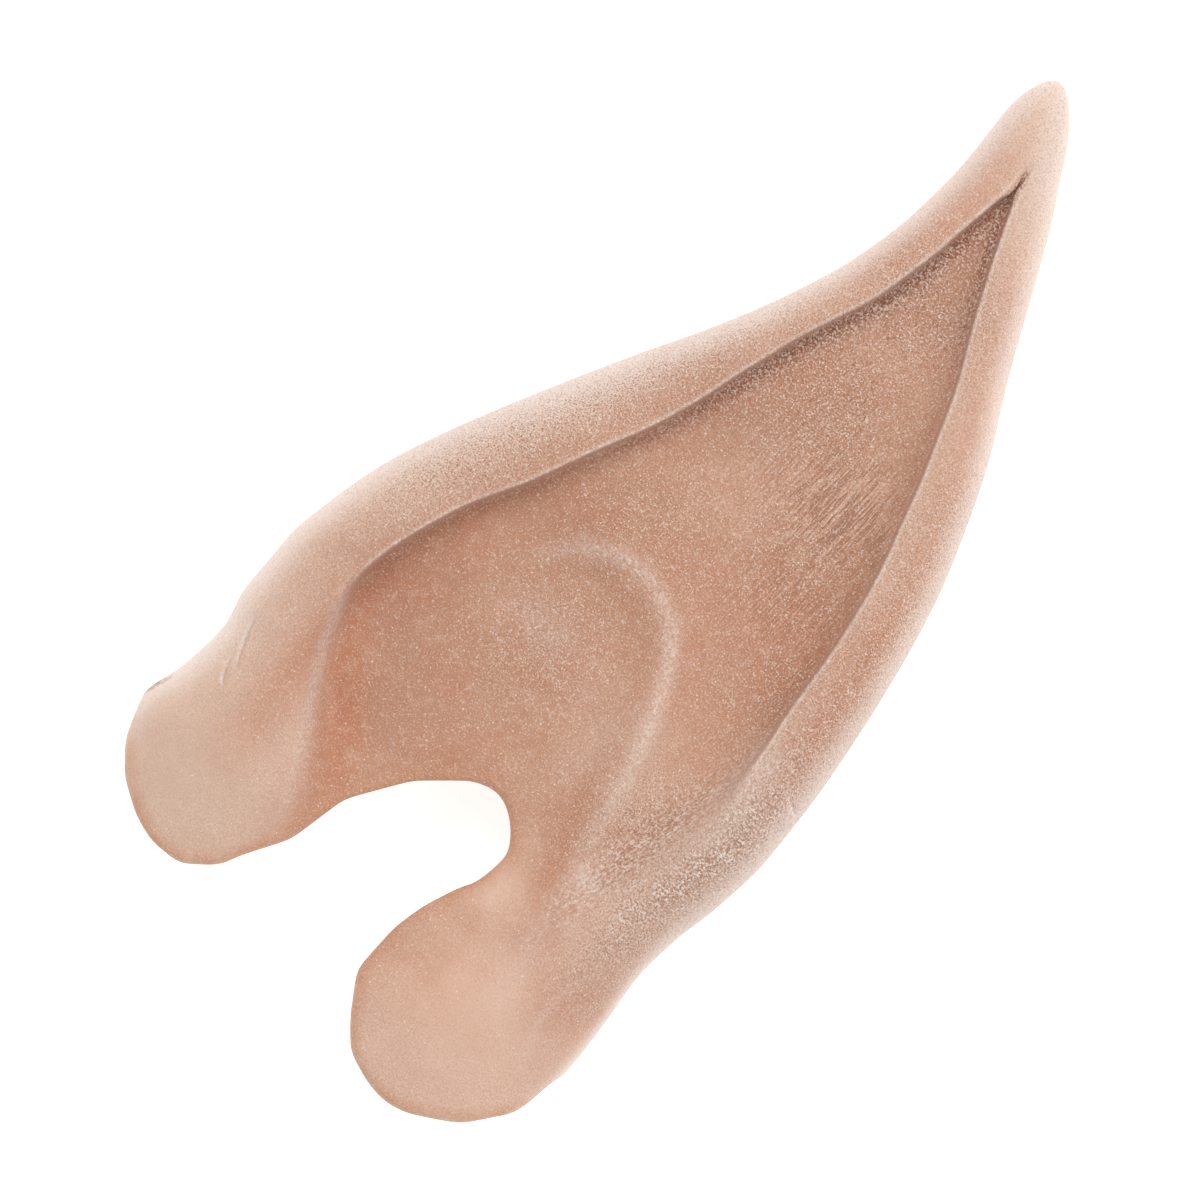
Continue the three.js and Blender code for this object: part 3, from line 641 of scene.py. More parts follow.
def hollow_half(side, lip, foot, floor_middle):
    """Where the hollow has its points from one side to the middle of the floor."""
    outwards = np.sign(side - floor_middle)
    turn_top = lip + outwards * WALL
    turn_end = foot + outwards * WALL * TURN_REACH
    columns = []
    for i in range(HOLLOW_RIM_STEPS):
        columns.append(mix(side, turn_top, 1 - math.cos(i * math.pi / 2 / HOLLOW_RIM_STEPS)))
    for i in range(HOLLOW_TURN_STEPS + 1):
        columns.append(mix(turn_top, turn_end, i / HOLLOW_TURN_STEPS))
    columns.append((turn_end + foot) / 2)
    for i in range(HOLLOW_FLOOR_STEPS // 2):
        columns.append(mix(foot, floor_middle, 2 * i / HOLLOW_FLOOR_STEPS))
    x = np.stack(columns, axis=1)
    middle = floor_middle[:, None]
    widest = np.abs(side[:, None] - middle)
    return middle + outwards[:, None] * np.minimum(np.abs(x - middle), widest)


def hollow_rings(ys, closing):
    """Closed rings of the hollow, each shrunk about its middle by a closing share."""
    s = section_at(ys)
    middle = (s.front_edge + s.back_edge) / 2
    front_foot = s.front_crease + s.front_step / 2
    back_foot = s.back_crease - s.back_step / 2
    floor_middle = (front_foot + back_foot) / 2
    front_side = hollow_side(middle, s.front_edge, ys)
    back_side = hollow_side(middle, s.back_edge, ys)
    front = hollow_half(front_side, s.front_crease - s.front_step / 2, front_foot, floor_middle)
    back = hollow_half(back_side, s.back_crease + s.back_step / 2, back_foot, floor_middle)
    columns = np.hstack([front, floor_middle[:, None], back[:, ::-1]])
    x = mix(middle[:, None], columns, closing[:, None])
    y = np.broadcast_to(ys[:, None], x.shape)
    top, bottom = hollow_span(x, y)
    half = (top - bottom) / 2 * closing[:, None]
    half[:, 0] = half[:, -1] = 0
    centre = (top + bottom) / 2
    upper = np.stack([x, y, centre + half], axis=-1)
    lower = np.stack([x, y, centre - half], axis=-1)[:, 1:-1]
    return np.concatenate([upper, lower[:, ::-1]], axis=1)


def stations(start, end, gap):
    return np.linspace(start, end, math.ceil((end - start) / gap) + 1)


def loft(rings, name, tip=None):
    """A closed skin through rings of equal count, with flat ends, or closed to a last point."""
    count = rings.shape[1]
    points = rings.reshape(-1, 3)
    bm = bmesh.new()
    verts = [bm.verts.new(p) for p in points.tolist()]
    for r in range(len(rings) - 1):
        for i in range(count):
            a, b = r * count + i, r * count + (i + 1) % count
            bm.faces.new((verts[a], verts[b], verts[b + count], verts[a + count]))
    bm.faces.new(verts[:count])
    last = verts[-count:]
    if tip is None:
        bm.faces.new(last)
    else:
        point = bm.verts.new(tip)
        for i in range(count):
            bm.faces.new((last[i], last[(i + 1) % count], point))
    bmesh.ops.triangulate(bm, faces=[f for f in bm.faces if len(f.verts) > 4])
    bmesh.ops.recalc_face_normals(bm, faces=bm.faces)
    mesh = bpy.data.meshes.new(name)
    bm.to_mesh(mesh)
    bm.free()
    made = bpy.data.objects.new(name, mesh)
    bpy.context.collection.objects.link(made)
    return made


def outer_form():
    straight = stations(-BASE_SPARE, LENGTH - NOSE, STATION_GAP)
    round_end = LENGTH - NOSE + NOSE * np.sin(np.arange(1, NOSE_STEPS) * math.pi / 2 / NOSE_STEPS)
    end = section_at(np.array([LENGTH]))
    tip = (float(end.front_edge[0]), LENGTH, float(end.edge[0]))
    return loft(outer_rings(np.r_[straight, round_end]), "outer_form", tip)


def hollow_form():
    end = LENGTH - SOLID_TIP
    straight = stations(-BASE_SPARE - WALL, end - HOLLOW_END, HOLLOW_GAP)
    places = np.array(CLOSING_PLACES)
    ys = np.r_[straight, end - HOLLOW_END + HOLLOW_END * places]
    closing = np.r_[np.ones(len(straight)), np.sqrt(1 - places**2)]
    return loft(hollow_rings(ys, closing), "hollow_form")


def face_edge():
    """Lower edge of the face as points in the plane, at equal distances, with its corners eased."""
    corners = np.array([[c * WIDTH, a * LENGTH] for c, a in FACE_EDGE])
    length = np.r_[0, np.cumsum(np.linalg.norm(np.diff(corners, axis=0), axis=1))]
    places = np.linspace(0, length[-1], EDGE_STEPS)
    line = np.stack([np.interp(places, length, corners[:, k]) for k in (0, 1)], axis=1)
    for _ in range(EDGE_EASINGS):
        line[1:-1] = (line[:-2] + 2 * line[1:-1] + line[2:]) / 4
    return line


def back_edge(face):
    """Lower edge of the back wall: a wide arch between the same two ends, above the top of the notch."""
    t = np.linspace(0, 1, len(face))[:, None]
    ends = mix(face[0], face[-1], t)
    arch = np.sqrt(1 - np.minimum(1, np.abs(2 * t - 1)) ** 2)
    top = face[:, 1].max() + ARCH_SPARE
    return np.hstack([ends[:, :1], mix(ends[:, 1:], top, arch)])


def base_cut():
    """What is cut away below the base: it follows the face's edge in front and the back's edge behind."""
    face = face_edge()
    back = back_edge(face)
    below = -2 * BASE_SPARE
    levels = [(0.0, -DEPTH)]
    for i in range(CUT_LEVELS + 1):
        t = i / CUT_LEVELS
        levels.append((float(smooth(t)), DEPTH * mix(BACK_CUT_CEILING, FRONT_CUT_FLOOR, t)))
    levels.append((1.0, 2 * DEPTH))
    rings = []
    for share, z in levels:
        line = mix(back, face, share)
        corners = np.array([[line[-1, 0], below], [line[0, 0], below]])
        plan = np.vstack([line, corners])
        rings.append(np.hstack([plan, np.full((len(plan), 1), z)]))
    return loft(np.array(rings), "base_cut")


def carve(solid, cutters):
    """Cuts the cutters out of a solid, and takes them away."""
    for cutter in cutters:
        cut = solid.modifiers.new("cut", "BOOLEAN")
        cut.operation = "DIFFERENCE"
        cut.solver = "MANIFOLD"
        cut.object = cutter
    bpy.context.view_layer.update()
    done = bpy.data.meshes.new_from_object(solid.evaluated_get(bpy.context.evaluated_depsgraph_get()))
    solid.modifiers.clear()
    for cutter in cutters:
        bpy.data.objects.remove(cutter)
    solid.data = done


def cut_edges(bm):
    """The sharp edges that the base cut leaves."""
    limit = math.radians(EDGE_ANGLE)
    top = LENGTH * EDGE_TOP
    sharp = []
    for edge in bm.edges:
        low = min(v.co.y for v in edge.verts) < top
        if low and len(edge.link_faces) == 2 and edge.calc_face_angle(0) > limit:
            sharp.append(edge)
    return sharp


def near_lines(points, lines, reach):
    """Distance of each point from the nearest of many points on the lines, up to a reach."""
    tree = KDTree(len(lines))
    for i, place in enumerate(lines.tolist()):
        tree.insert(place, i)
    tree.balance()
    return np.array([min(reach, tree.find(place)[2]) for place in points.tolist()])


def points_on(edges):
    """Points a short way apart along edges."""
    places = []
    for edge in edges:
        a, b = (np.array(v.co) for v in edge.verts)
        count = max(2, math.ceil(np.linalg.norm(b - a) / (EDGE_ROUND / 4)) + 1)
        places.append(mix(a, b, np.linspace(0, 1, count)[:, None]))
    return np.vstack(places)


def places_of(bm):
    bm.verts.ensure_lookup_table()
    bm.verts.index_update()
    return np.array([v.co for v in bm.verts])


def divide_near(bm, lines, reach, longest):
    """Halves the mesh's long edges near lines until none is longer than asked."""
    for _ in range(HALVINGS):
        near = near_lines(places_of(bm), lines, reach * 1.1) < reach
        long = [
            e for e in bm.edges
            if e.calc_length() > longest and (near[e.verts[0].index] or near[e.verts[1].index])
        ]
        if not long:
            break
        bmesh.ops.subdivide_edges(bm, edges=long, cuts=1)
        bmesh.ops.triangulate(bm, faces=[f for f in bm.faces if len(f.verts) > 3])


def round_over(bm, lines):
    """Rounds the mesh along lines by averaging each point with its neighbours."""
    places = places_of(bm)
    ends = np.array([[e.verts[0].index, e.verts[1].index] for e in bm.edges])
    closeness = 1 - near_lines(places, lines, EDGE_ROUND) / EDGE_ROUND
    weight = smooth(EDGE_GAIN * closeness)[:, None]
    degree = np.bincount(ends.ravel(), minlength=len(places))[:, None]
    for _ in range(EDGE_PASSES):
        total = np.zeros_like(places)
        np.add.at(total, ends[:, 0], places[ends[:, 1]])
        np.add.at(total, ends[:, 1], places[ends[:, 0]])
        places = mix(places, total / degree, 0.5 * weight)
    for vert, place in zip(bm.verts, places.tolist()):
        vert.co = place


def nick_lines():
    """Points along the nicks, on the face."""
    points = np.vstack([route_of(rows)[:, :2] for _, rows in NICKS])
    s = section_at(points[:, 1])
    inside = np.clip(points[:, 0], s.front_edge + NICK_INSET, s.back_edge - NICK_INSET)
    return np.column_stack([points, face_height(s, inside, points[:, 1])])


def finish_mesh(mesh):
    """Rounds the cut edges, divides the mesh along the nicks, and gives back the cut edges' points."""
    bm = bmesh.new()
    bm.from_mesh(mesh)
    bmesh.ops.remove_doubles(bm, verts=bm.verts, dist=SPECK)
    bmesh.ops.dissolve_degenerate(bm, edges=bm.edges, dist=SPECK)
    bmesh.ops.triangulate(bm, faces=bm.faces)
    lines = points_on(cut_edges(bm))
    divide_near(bm, lines, EDGE_ROUND * EDGE_BAND, EDGE_MESH)
    round_over(bm, lines)
    divide_near(bm, nick_lines(), NICK_BAND, NICK_MESH)
    bm.to_mesh(mesh)
    bm.free()
    return lines


def nick_depth(x, y):
    """Share of the nicks' full depth, and of the painted highlight on the lip to one side of each, at
    each point.
    """
    depth = np.zeros(len(x))
    lip = np.zeros(len(x))
    for reach, rows in NICKS:
        distance, side, strength = from_route(x, y, route_of(rows))
        depth = np.maximum(depth, strength * bump(distance, reach))
        lip = np.maximum(lip, strength * bump(distance - NICK_LIP * reach, reach) * (side < 0))
    return depth, lip


def ear_shell(low, high):
    """The whole skin as one object, moved onto the solid: middle over middle, tip at tip, flat down."""
    shell = outer_form()
    carve(shell, [hollow_form(), base_cut()])
    mesh = shell.data
    lines = finish_mesh(mesh)
    places = np.array([v.co for v in mesh.vertices])
    paint(mesh, places, lines)
    depth, _ = nick_depth(places[:, 0], places[:, 1])
    over = places[:, 2] > section_at(places[:, 1]).edge
    places[:, 2] -= NICK_DEPTH * depth * over
    box_middle = (places.min(axis=0) + places.max(axis=0)) / 2
    shift = (np.array(low) + np.array(high)) / 2 - box_middle * MM
    shift[1] = high[1] - places[:, 1].max() * MM
    shift[2] = low[2] - places[:, 2].min() * MM
    mesh.vertices.foreach_set("co", (places * MM + shift).ravel())
    mesh.polygons.foreach_set("use_smooth", [True] * len(mesh.polygons))
    mesh.update()
    shell.name = mesh.name = "ear_skin"
    return shell


def paint(mesh, places, lines):
    """Stores, for every point, how much of each surface finish, painted shade and painted highlight it
    has.
    """
    x, y, z = places.T
    s = section_at(y)
    on_face = smooth((z - s.edge) / FACE_FADE)
    front = x - s.front_crease
    back = s.back_crease - x
    dip = smooth((s.front_dip + s.back_dip) / (SHALLOW * RECESS))
    past_front = smooth(0.5 + front / (s.front_step + RIM_SPREAD))
    past_back = smooth(0.5 + back / (s.back_step + RIM_SPREAD))
    inside = past_front * past_back
    paint_layers = {name: np.zeros(len(places)) for name in PAINT_LAYER_NAMES}
    paint_layers["rim"] = 1 - inside * dip

    along = y / LENGTH
    near_tip = setting_in(along, NEAR_TIP)
    # painted shade, with dirt in it, where the crisp lips shade the floor beside the creases
    under_front = fading(front, *FRONT_SHADE_AND_DIRT) * setting_in(front, SHADE_AND_DIRT_ONSET) * s.front_crisp
    under_back = fading(back, *BACK_SHADE_AND_DIRT) * setting_in(back, SHADE_AND_DIRT_ONSET) * s.back_crisp
    back_share = mix(*BACK_SHADE_AND_DIRT_SHARES, near_tip)
    paint_layers["shade_and_dirt"] = np.maximum(under_front * FRONT_SHADE_AND_DIRT_SHARE, under_back * back_share) * on_face
    beside = np.maximum(fading(front, *FRONT_GRIT), fading(back, *BACK_GRIT) * near_tip)
    paint_layers["grit"] = setting_in(along, UPPER_PART) * beside * inside * dip * on_face
    paint_layers["cut"] = 1 - near_lines(places, lines, CUT_SHADE_REACH) / CUT_SHADE_REACH

    for name, reach, rows in LINES:
        distance, _, strength = from_route(x, y, route_of(rows))
        paint_layers[name] = np.maximum(paint_layers[name], strength * bump(distance, reach) * on_face)
    for name, patch_across, patch_along, reach, strength in PATCHES:
        distance = np.hypot(x - patch_across * WIDTH, y - patch_along * LENGTH)
        paint_layers[name] = np.maximum(paint_layers[name], strength * bump(distance, reach) * on_face)
    # painted highlight along the crisp lips, stored with the talc
    set_back, reach = LIP_HIGHLIGHT
    lip_front = bump(front + set_back, reach) * s.front_crisp
    lip_back = bump(back + set_back, reach) * s.back_crisp
    nick, nick_lip = nick_depth(x, y)
    over = z > s.edge
    paint_layers["talc_and_highlight"] = np.maximum(paint_layers["talc_and_highlight"], LIP_HIGHLIGHT_SHARE * np.maximum(lip_front, lip_back))
    # painted highlight on one lip of each nick, stored with the talc
    paint_layers["talc_and_highlight"] = np.maximum(paint_layers["talc_and_highlight"], nick_lip * over)
    # painted shade in the nicks
    paint_layers["shade_and_dirt"] = np.maximum(paint_layers["shade_and_dirt"], NICK_SHADE_SHARE * nick * over)
    flank = np.minimum(
        factor_near(along, *FRONT_WIDENING) * (x - s.front_edge),
        factor_near(along, *BACK_NARROWING) * (s.back_edge - x),
    )
    # painted highlight: a pale band along the outer flanks and the tip's back side
    tip_side = bump(s.back_edge - x, TIP_HIGHLIGHT_REACH) * setting_in(along, TIP_HIGHLIGHT)
    upright = mix(LOW_FLANK_HIGHLIGHT, 1, setting_in(z - s.edge, (-FLANK_HIGHLIGHT_FALL, 0)))
    paint_layers["flank_highlight"] = np.maximum(bump(flank, FLANK_HIGHLIGHT_REACH), tip_side) * upright
    for name, values in paint_layers.items():
        layer = mesh.attributes.new(name, "FLOAT", "POINT")
        layer.data.foreach_set("value", values.astype(np.float32))


def srgb(red, green, blue):
    """A colour as light, from its numbers as seen on a screen, 0 to 255."""
    shares = [v / 255 for v in (red, green, blue)]
    return (*[v / 12.92 if v < 0.04 else ((v + 0.055) / 1.055) ** 2.4 for v in shares], 1)


RIM_COLOUR = srgb(220, 183, 161)
FLOOR_COLOUR = srgb(199, 151, 124)
LOBE_COLOUR = srgb(215, 184, 163)
WARM_COLOUR = srgb(194, 131, 99)
BROWN_COLOUR = srgb(172, 122, 96)
PALE_COLOUR = srgb(226, 193, 172)
PEACH_COLOUR = srgb(229, 190, 167)
# colour of the painted shade along the cut edges
CUT_SHADE_COLOUR = srgb(206, 150, 116)
# colour of dirt, dark flecks and pits, and of the painted shade in the creases, the nicks and the dark
# sliver
SHADE_AND_DIRT_COLOUR = srgb(142, 88, 64)
# colour of talc, pale grain and flecks, and of the painted highlights on the lips, the crest, the nicks,
# the cut edges and the outer flanks
TALC_AND_HIGHLIGHT_COLOUR = srgb(243, 228, 218)
ZONE_COLOURS = {
    "brown": BROWN_COLOUR,
    "pale": PALE_COLOUR,
    "peach": PEACH_COLOUR,
    "lobe": LOBE_COLOUR,
    "warm": WARM_COLOUR,
}
SCRATCH_TURN = -3  # degrees from the ear's length to the scratches, leftwards
FOLD_TURN = -16  # and to the folds of the crinkled streak
SCRATCH_STRETCH = (1, 0.06, 0.3)
PIT_STRETCH = (1, 0.5, 1)
FOLD_STRETCH = (1, 0.55, 1)
FLANK_HIGHLIGHT = 0.75  # how much the painted highlight on the flanks covers the latex
RELIEF = 0.19  # height of the finest relief, in millimetres

# The noises in the surface: size of a blob in millimetres, detail and roughness
NOISES = {
    "mottling": (4.5, 2.0, 0.5),
    "blotches": (1.3, 3.0, 0.6),
    "cut_shade_patches": (2.2, 2.0, 0.5),
    "shade_and_dirt_patches": (0.4, 2.0, 0.5),
    "talc_and_highlight_patches": (0.28, 2.0, 0.6),
    "edge_highlight": (0.9, 2.0, 0.5),
    "scratches": (0.17, 1.0, 0.5),
    "grain": (0.16, 2.0, 0.6),
    "flecks": (0.22, 1.0, 0.65),
    "dust_patches": (1.2, 2.0, 0.5),
    "folds": (0.25, 2.0, 0.6),
    "speck_clouds": (4.0, 2.0, 0.5),
    "unevenness": (1.6, 2.0, 0.5),
}

# Round specks: millimetres between them, and their size as a share of that
PITS = (0.34, 0.4)
TALC_SPECKS = (0.26, 0.34)
SPECK_CORE = 0.6  # share of a speck that has its full colour


class Shader:
    """Adds nodes to a material with short calls; every call gives back an output socket."""

    def __init__(self, name):
        self.material = bpy.data.materials.new(name)
        self.material.use_nodes = True
        self.tree = self.material.node_tree
        self.surface = self.tree.nodes["Principled BSDF"]
        self.place = self.tree.nodes.new("ShaderNodeTexCoord").outputs["Object"]

    def put(self, node, name, value):
        if isinstance(value, bpy.types.NodeSocket):
            self.tree.links.new(value, node.inputs[name])
        else:
            node.inputs[name].default_value = value

    def amount(self, name):
        node = self.tree.nodes.new("ShaderNodeAttribute")
        node.attribute_name = name
        return node.outputs["Fac"]

    def math(self, operation, a, b):
        node = self.tree.nodes.new("ShaderNodeMath")
        node.operation = operation
        self.put(node, 0, a)
        self.put(node, 1, b)
        return node.outputs[0]

    def ramp(self, value, low, high, start=0.0, end=1.0):
        node = self.tree.nodes.new("ShaderNodeMapRange")
        names = ("Value", "From Min", "From Max", "To Min", "To Max")
        for name, part in zip(names, (value, low, high, start, end)):
            self.put(node, name, part)
        return node.outputs[0]

    def mix(self, factor, a, b):
        node = self.tree.nodes.new("ShaderNodeMix")
        node.data_type = "RGBA"
        self.put(node, "Factor", factor)
        self.put(node, "A", a)
        self.put(node, "B", b)
        return node.outputs["Result"]

    def times(self, a, b):
        return self.math("MULTIPLY", a, b)

    def plus(self, a, b):
        return self.math("ADD", a, b)

    def less(self, a, b):
        return self.math("SUBTRACT", a, b)

    def tint(self, colour, tint, amount, share):
        """A colour with a tint laid over it, as far as an amount times a share says."""
        return self.mix(self.times(amount, share), colour, tint)

    def noise(self, name, place=None):
        """One of the named noises."""
        size, detail, roughness = NOISES[name]
        node = self.tree.nodes.new("ShaderNodeTexNoise")
        self.put(node, "Vector", place or self.place)
        self.put(node, "Scale", 1 / (size * MM))
        self.put(node, "Detail", detail)
        self.put(node, "Roughness", roughness)
        return node.outputs["Fac"]

    def specks(self, sizes, kept, place=None):
        """Round specks of the given sizes, of which a share is kept."""
        gap, radius = sizes
        cells = self.tree.nodes.new("ShaderNodeTexVoronoi")
        self.put(cells, "Vector", place or self.place)
        self.put(cells, "Scale", 1 / (gap * MM))
        parts = self.tree.nodes.new("ShaderNodeSeparateColor")
        self.put(parts, "Color", cells.outputs["Color"])
        chosen = self.math("LESS_THAN", parts.outputs["Red"], kept)
        disc = self.ramp(cells.outputs["Distance"], radius, radius * SPECK_CORE)
        return self.times(disc, chosen)

    def stretched(self, turn, shares):
        """The place, turned about Z by some degrees and then scaled along each axis."""
        turned = self.tree.nodes.new("ShaderNodeMapping")
        turned.inputs["Rotation"].default_value = (0, 0, math.radians(-turn))
        self.put(turned, "Vector", self.place)
        scaled = self.tree.nodes.new("ShaderNodeMapping")
        scaled.inputs["Scale"].default_value = shares
        self.put(scaled, "Vector", turned.outputs[0])
        return scaled.outputs[0]


def zone_colour(make, hollow):
    """The latex's colour: rims, floor, lobes and tinted zones, some of them painted shade, with cloudy
    mottling.
    """
    colour = make.mix(make.amount("rim"), FLOOR_COLOUR, RIM_COLOUR)
    for name, tint in ZONE_COLOURS.items():
        colour = make.mix(make.amount(name), colour, tint)
    cloudy = make.ramp(make.noise("mottling"), 0.4, 0.66)
    colour = make.tint(colour, WARM_COLOUR, cloudy, make.ramp(hollow, 0, 1, 0.1, 0.3))
    blotchy = make.ramp(make.noise("blotches"), 0.5, 0.7)
    return make.tint(colour, PALE_COLOUR, blotchy, make.ramp(hollow, 0, 1, 0.2, 0.25))


def lit_shaded_and_marked_colour(make, colour, scratch, burr, pits):
    """Painted shade along the cut edges, painted highlight on the outer flanks, painted shade with dirt
    in the creases, fine scratches and dark pits.
    """
    # painted shade: a darker orange band along the cut edges, broken up in patches
    cut_shade_breakup = make.ramp(make.noise("cut_shade_patches"), 0.35, 0.65, 0.3, 1.0)
    colour = make.tint(colour, CUT_SHADE_COLOUR, make.ramp(make.amount("cut"), 0.5, 0.95, 0.0, 0.9), cut_shade_breakup)
    # painted highlight on the outer flanks
    colour = make.tint(colour, TALC_AND_HIGHLIGHT_COLOUR, make.amount("flank_highlight"), FLANK_HIGHLIGHT)
    # painted shade with dirt in the creases, and painted shade in the nicks and in the sliver at the
    # front cut's end
    patchy = make.ramp(make.noise("shade_and_dirt_patches"), 0.36, 0.6, 0.4, 1.0)
    colour = make.tint(colour, SHADE_AND_DIRT_COLOUR, make.amount("shade_and_dirt"), patchy)
    colour = make.tint(colour, BROWN_COLOUR, scratch, 0.75)
    colour = make.tint(colour, SHADE_AND_DIRT_COLOUR, pits, 0.65)
    return make.tint(colour, PALE_COLOUR, burr, 0.6)


def fleck_colour(make, colour, grit, dust, flecks):
    """Dark and pale flecks, of dirt and talc beside the creases and of dust on the outer flank."""
    colour = make.tint(colour, SHADE_AND_DIRT_COLOUR, grit, make.ramp(flecks, 0.5, 0.38, 0, 0.85))
    colour = make.tint(colour, TALC_AND_HIGHLIGHT_COLOUR, grit, make.ramp(flecks, 0.56, 0.64, 0, 0.8))
    patchy = make.ramp(make.noise("dust_patches"), 0.4, 0.62, 0.4, 1.0)
    dusty = make.times(dust, patchy)
    colour = make.tint(colour, BROWN_COLOUR, dusty, make.ramp(flecks, 0.5, 0.42, 0, 0.6))
    return make.tint(colour, TALC_AND_HIGHLIGHT_COLOUR, dusty, make.ramp(flecks, 0.53, 0.58, 0, 1.0))


def talc_and_highlight_colour(make, colour, density):
    """Painted highlight along the lips, the nicks' lips, the crest and the cut edges, talc dust in
    patches, and talc specks all over.
    """
    patchy = make.ramp(make.noise("talc_and_highlight_patches"), 0.4, 0.62, 0.25, 1.0)
    # the talc layer holds talc dust and the painted highlights on the lips, the crest and the nicks
    dusty = make.times(make.amount("talc_and_highlight"), patchy)
    edge = make.ramp(make.amount("cut"), 0.9, 0.98)
    # painted highlight along the very cut edges
    edge_highlight = make.times(edge, make.ramp(make.noise("edge_highlight"), 0.48, 0.62, 0.0, 0.5))
    colour = make.mix(make.math("MAXIMUM", dusty, edge_highlight), colour, TALC_AND_HIGHLIGHT_COLOUR)
    specks = make.specks(TALC_SPECKS, make.times(density, 0.25))
    return make.tint(colour, TALC_AND_HIGHLIGHT_COLOUR, specks, 0.75)


def latex():
    """Matt flesh-coloured latex: zones of colour, some of them painted shade, grain, talc, painted
    highlights, and painted shade with dirt in the creases.
    """
    make = Shader("latex")
    rough, grit = make.amount("rough"), make.amount("grit")
    crinkle, dust = make.amount("crinkle"), make.amount("dust")
    scratched = make.amount("scratched")
    hollow = make.less(1.0, make.amount("rim"))
    lobes = make.math("MAXIMUM", make.amount("lobe"), make.amount("peach"))
    quiet = make.less(1.0, make.times(lobes, 0.75))
    lively = make.times(make.plus(make.times(rough, 0.65), 0.35), quiet)

    lines = make.noise("scratches", make.stretched(SCRATCH_TURN, SCRATCH_STRETCH))
    scratch = make.times(make.ramp(lines, 0.54, 0.62), scratched)
    burr = make.times(make.ramp(lines, 0.46, 0.38), scratched)
    pitted = make.ramp(rough, 0.6, 1.0, 0.0, 0.35)
    pits = make.specks(PITS, pitted, make.stretched(SCRATCH_TURN, PIT_STRETCH))
    colour = zone_colour(make, hollow)
    colour = lit_shaded_and_marked_colour(make, colour, scratch, burr, make.times(pits, hollow))

    grain = make.noise("grain")
    strength = make.plus(make.plus(make.times(lively, 0.9), 0.1), make.times(grit, 0.2))
    colour = make.tint(colour, BROWN_COLOUR, make.ramp(grain, 0.48, 0.36), strength)
    colour = make.tint(colour, TALC_AND_HIGHLIGHT_COLOUR, make.ramp(grain, 0.56, 0.66), strength)
    flecks = make.noise("flecks")
    colour = fleck_colour(make, colour, grit, dust, flecks)
    folds = make.noise("folds", make.stretched(FOLD_TURN, FOLD_STRETCH))
    colour = make.tint(colour, BROWN_COLOUR, crinkle, make.ramp(folds, 0.48, 0.36, 0, 0.75))
    colour = make.tint(colour, TALC_AND_HIGHLIGHT_COLOUR, crinkle, make.ramp(folds, 0.54, 0.64, 0, 0.75))
    clouds = make.ramp(make.noise("speck_clouds"), 0.38, 0.62, 0.3, 1.0)
    density = make.times(clouds, make.plus(lively, make.times(make.plus(grit, dust), 0.6)))
    colour = talc_and_highlight_colour(make, colour, density)

    height = make.less(make.times(grain, strength), make.times(scratch, 0.5))
    height = make.plus(height, make.times(crinkle, folds))
    height = make.plus(height, make.times(make.plus(grit, dust), flecks))
    height = make.plus(height, make.times(make.noise("unevenness"), 0.6))
    relief = make.tree.nodes.new("ShaderNodeBump")
    relief.inputs["Strength"].default_value = 1.0
    relief.inputs["Distance"].default_value = RELIEF * MM
    make.put(relief, "Height", height)

    make.put(make.surface, "Base Color", colour)
    make.put(make.surface, "Normal", relief.outputs["Normal"])
    make.put(make.surface, "Roughness", make.ramp(grain, 0.3, 0.7, 0.62, 0.82))
    make.put(make.surface, "Specular IOR Level", 0.3)
    make.put(make.surface, "Sheen Weight", 0.15)
    make.put(make.surface, "Sheen Roughness", 0.35)
    return make.material


FLOOR_GLOW = 0.7  # light of its own, as a light table has, so that hardly a shadow shows
FLOOR_WIDTH = 4
FLOOR_DROP = 0.2 * MM
WORLD_LIGHT = 0.6

# Area lights, aimed at the ear: name, place and width in metres, and power in watts
LIGHTS = [
    ("key", (-0.28, 0.36, 0.8), 0.5, 2.9),
    ("fill", (0.5, 0.3, 0.55), 0.6, 1.6),
]


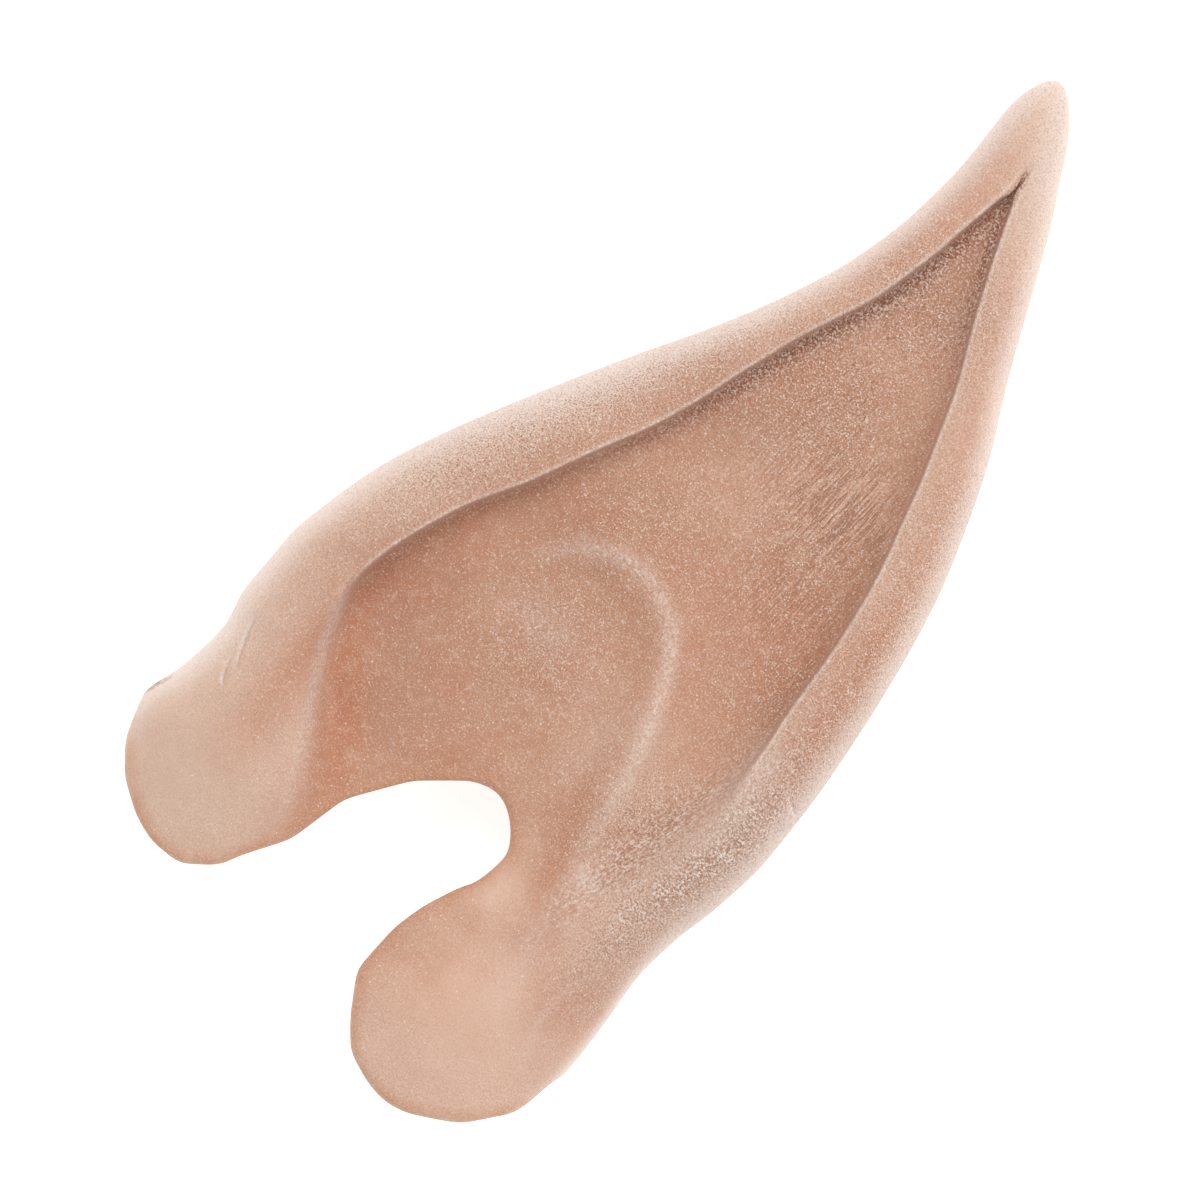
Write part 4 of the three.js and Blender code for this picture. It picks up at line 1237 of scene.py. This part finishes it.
def studio_floor():
    bpy.ops.mesh.primitive_plane_add(size=FLOOR_WIDTH, location=(0, 0, -FLOOR_DROP))
    floor = bpy.context.object
    floor.name = "studio_floor"
    material = bpy.data.materials.new("floor_white")
    material.use_nodes = True
    shader = material.node_tree.nodes["Principled BSDF"]
    shader.inputs["Base Color"].default_value = (0.85, 0.85, 0.85, 1)
    shader.inputs["Roughness"].default_value = 0.9
    shader.inputs["Emission Color"].default_value = (1, 1, 1, 1)
    shader.inputs["Emission Strength"].default_value = FLOOR_GLOW
    floor.data.materials.append(material)


def area_light(name, place, size, power):
    light = bpy.data.lights.new(name, "AREA")
    light.size = size
    light.energy = power
    made = bpy.data.objects.new(name, light)
    made.location = place
    made.rotation_euler = (-Vector(place)).to_track_quat("-Z", "Y").to_euler()
    bpy.context.collection.objects.link(made)


def studio_light():
    world = bpy.data.worlds.new("studio")
    bpy.context.scene.world = world
    world.use_nodes = True
    background = world.node_tree.nodes["Background"]
    background.inputs["Color"].default_value = (1, 1, 1, 1)
    background.inputs["Strength"].default_value = WORLD_LIGHT
    for name, place, size, power in LIGHTS:
        area_light(name, place, size, power)


PHOTO_TURN = 40  # degrees from the ear's length to the photo's upright
PHOTO_WIDTH = 108.94 * MM  # what the photo's width spans at the ear
PHOTO_CENTRE = (-0.254 * MM, -7.91 * MM, 7 * MM)
LENS = 300  # millimetres, as is the sensor
SENSOR = 36


def photo_camera():
    data = bpy.data.cameras.new("camera")
    data.lens = LENS
    data.sensor_width = SENSOR
    camera = bpy.data.objects.new("camera", data)
    distance = PHOTO_WIDTH / 2 * LENS / (SENSOR / 2)
    camera.location = Vector(PHOTO_CENTRE) + Vector((0, 0, distance))
    camera.rotation_euler = (0, 0, math.radians(PHOTO_TURN))
    data.clip_end = 10
    bpy.context.collection.objects.link(camera)
    bpy.context.scene.camera = camera


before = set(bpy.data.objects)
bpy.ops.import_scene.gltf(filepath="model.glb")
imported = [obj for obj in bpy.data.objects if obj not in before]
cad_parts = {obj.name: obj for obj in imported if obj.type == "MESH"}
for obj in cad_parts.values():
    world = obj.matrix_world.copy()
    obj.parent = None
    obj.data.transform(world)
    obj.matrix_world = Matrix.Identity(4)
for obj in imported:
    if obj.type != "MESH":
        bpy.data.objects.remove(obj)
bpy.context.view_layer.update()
photo_camera()
studio_light()
studio_floor()

skin = ear_shell(*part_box("ear_tip"))
skin.data.materials.clear()
skin.data.materials.append(latex())
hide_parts("ear_tip")
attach(skin, "root")

bpy.context.scene.view_settings.view_transform = "Standard"
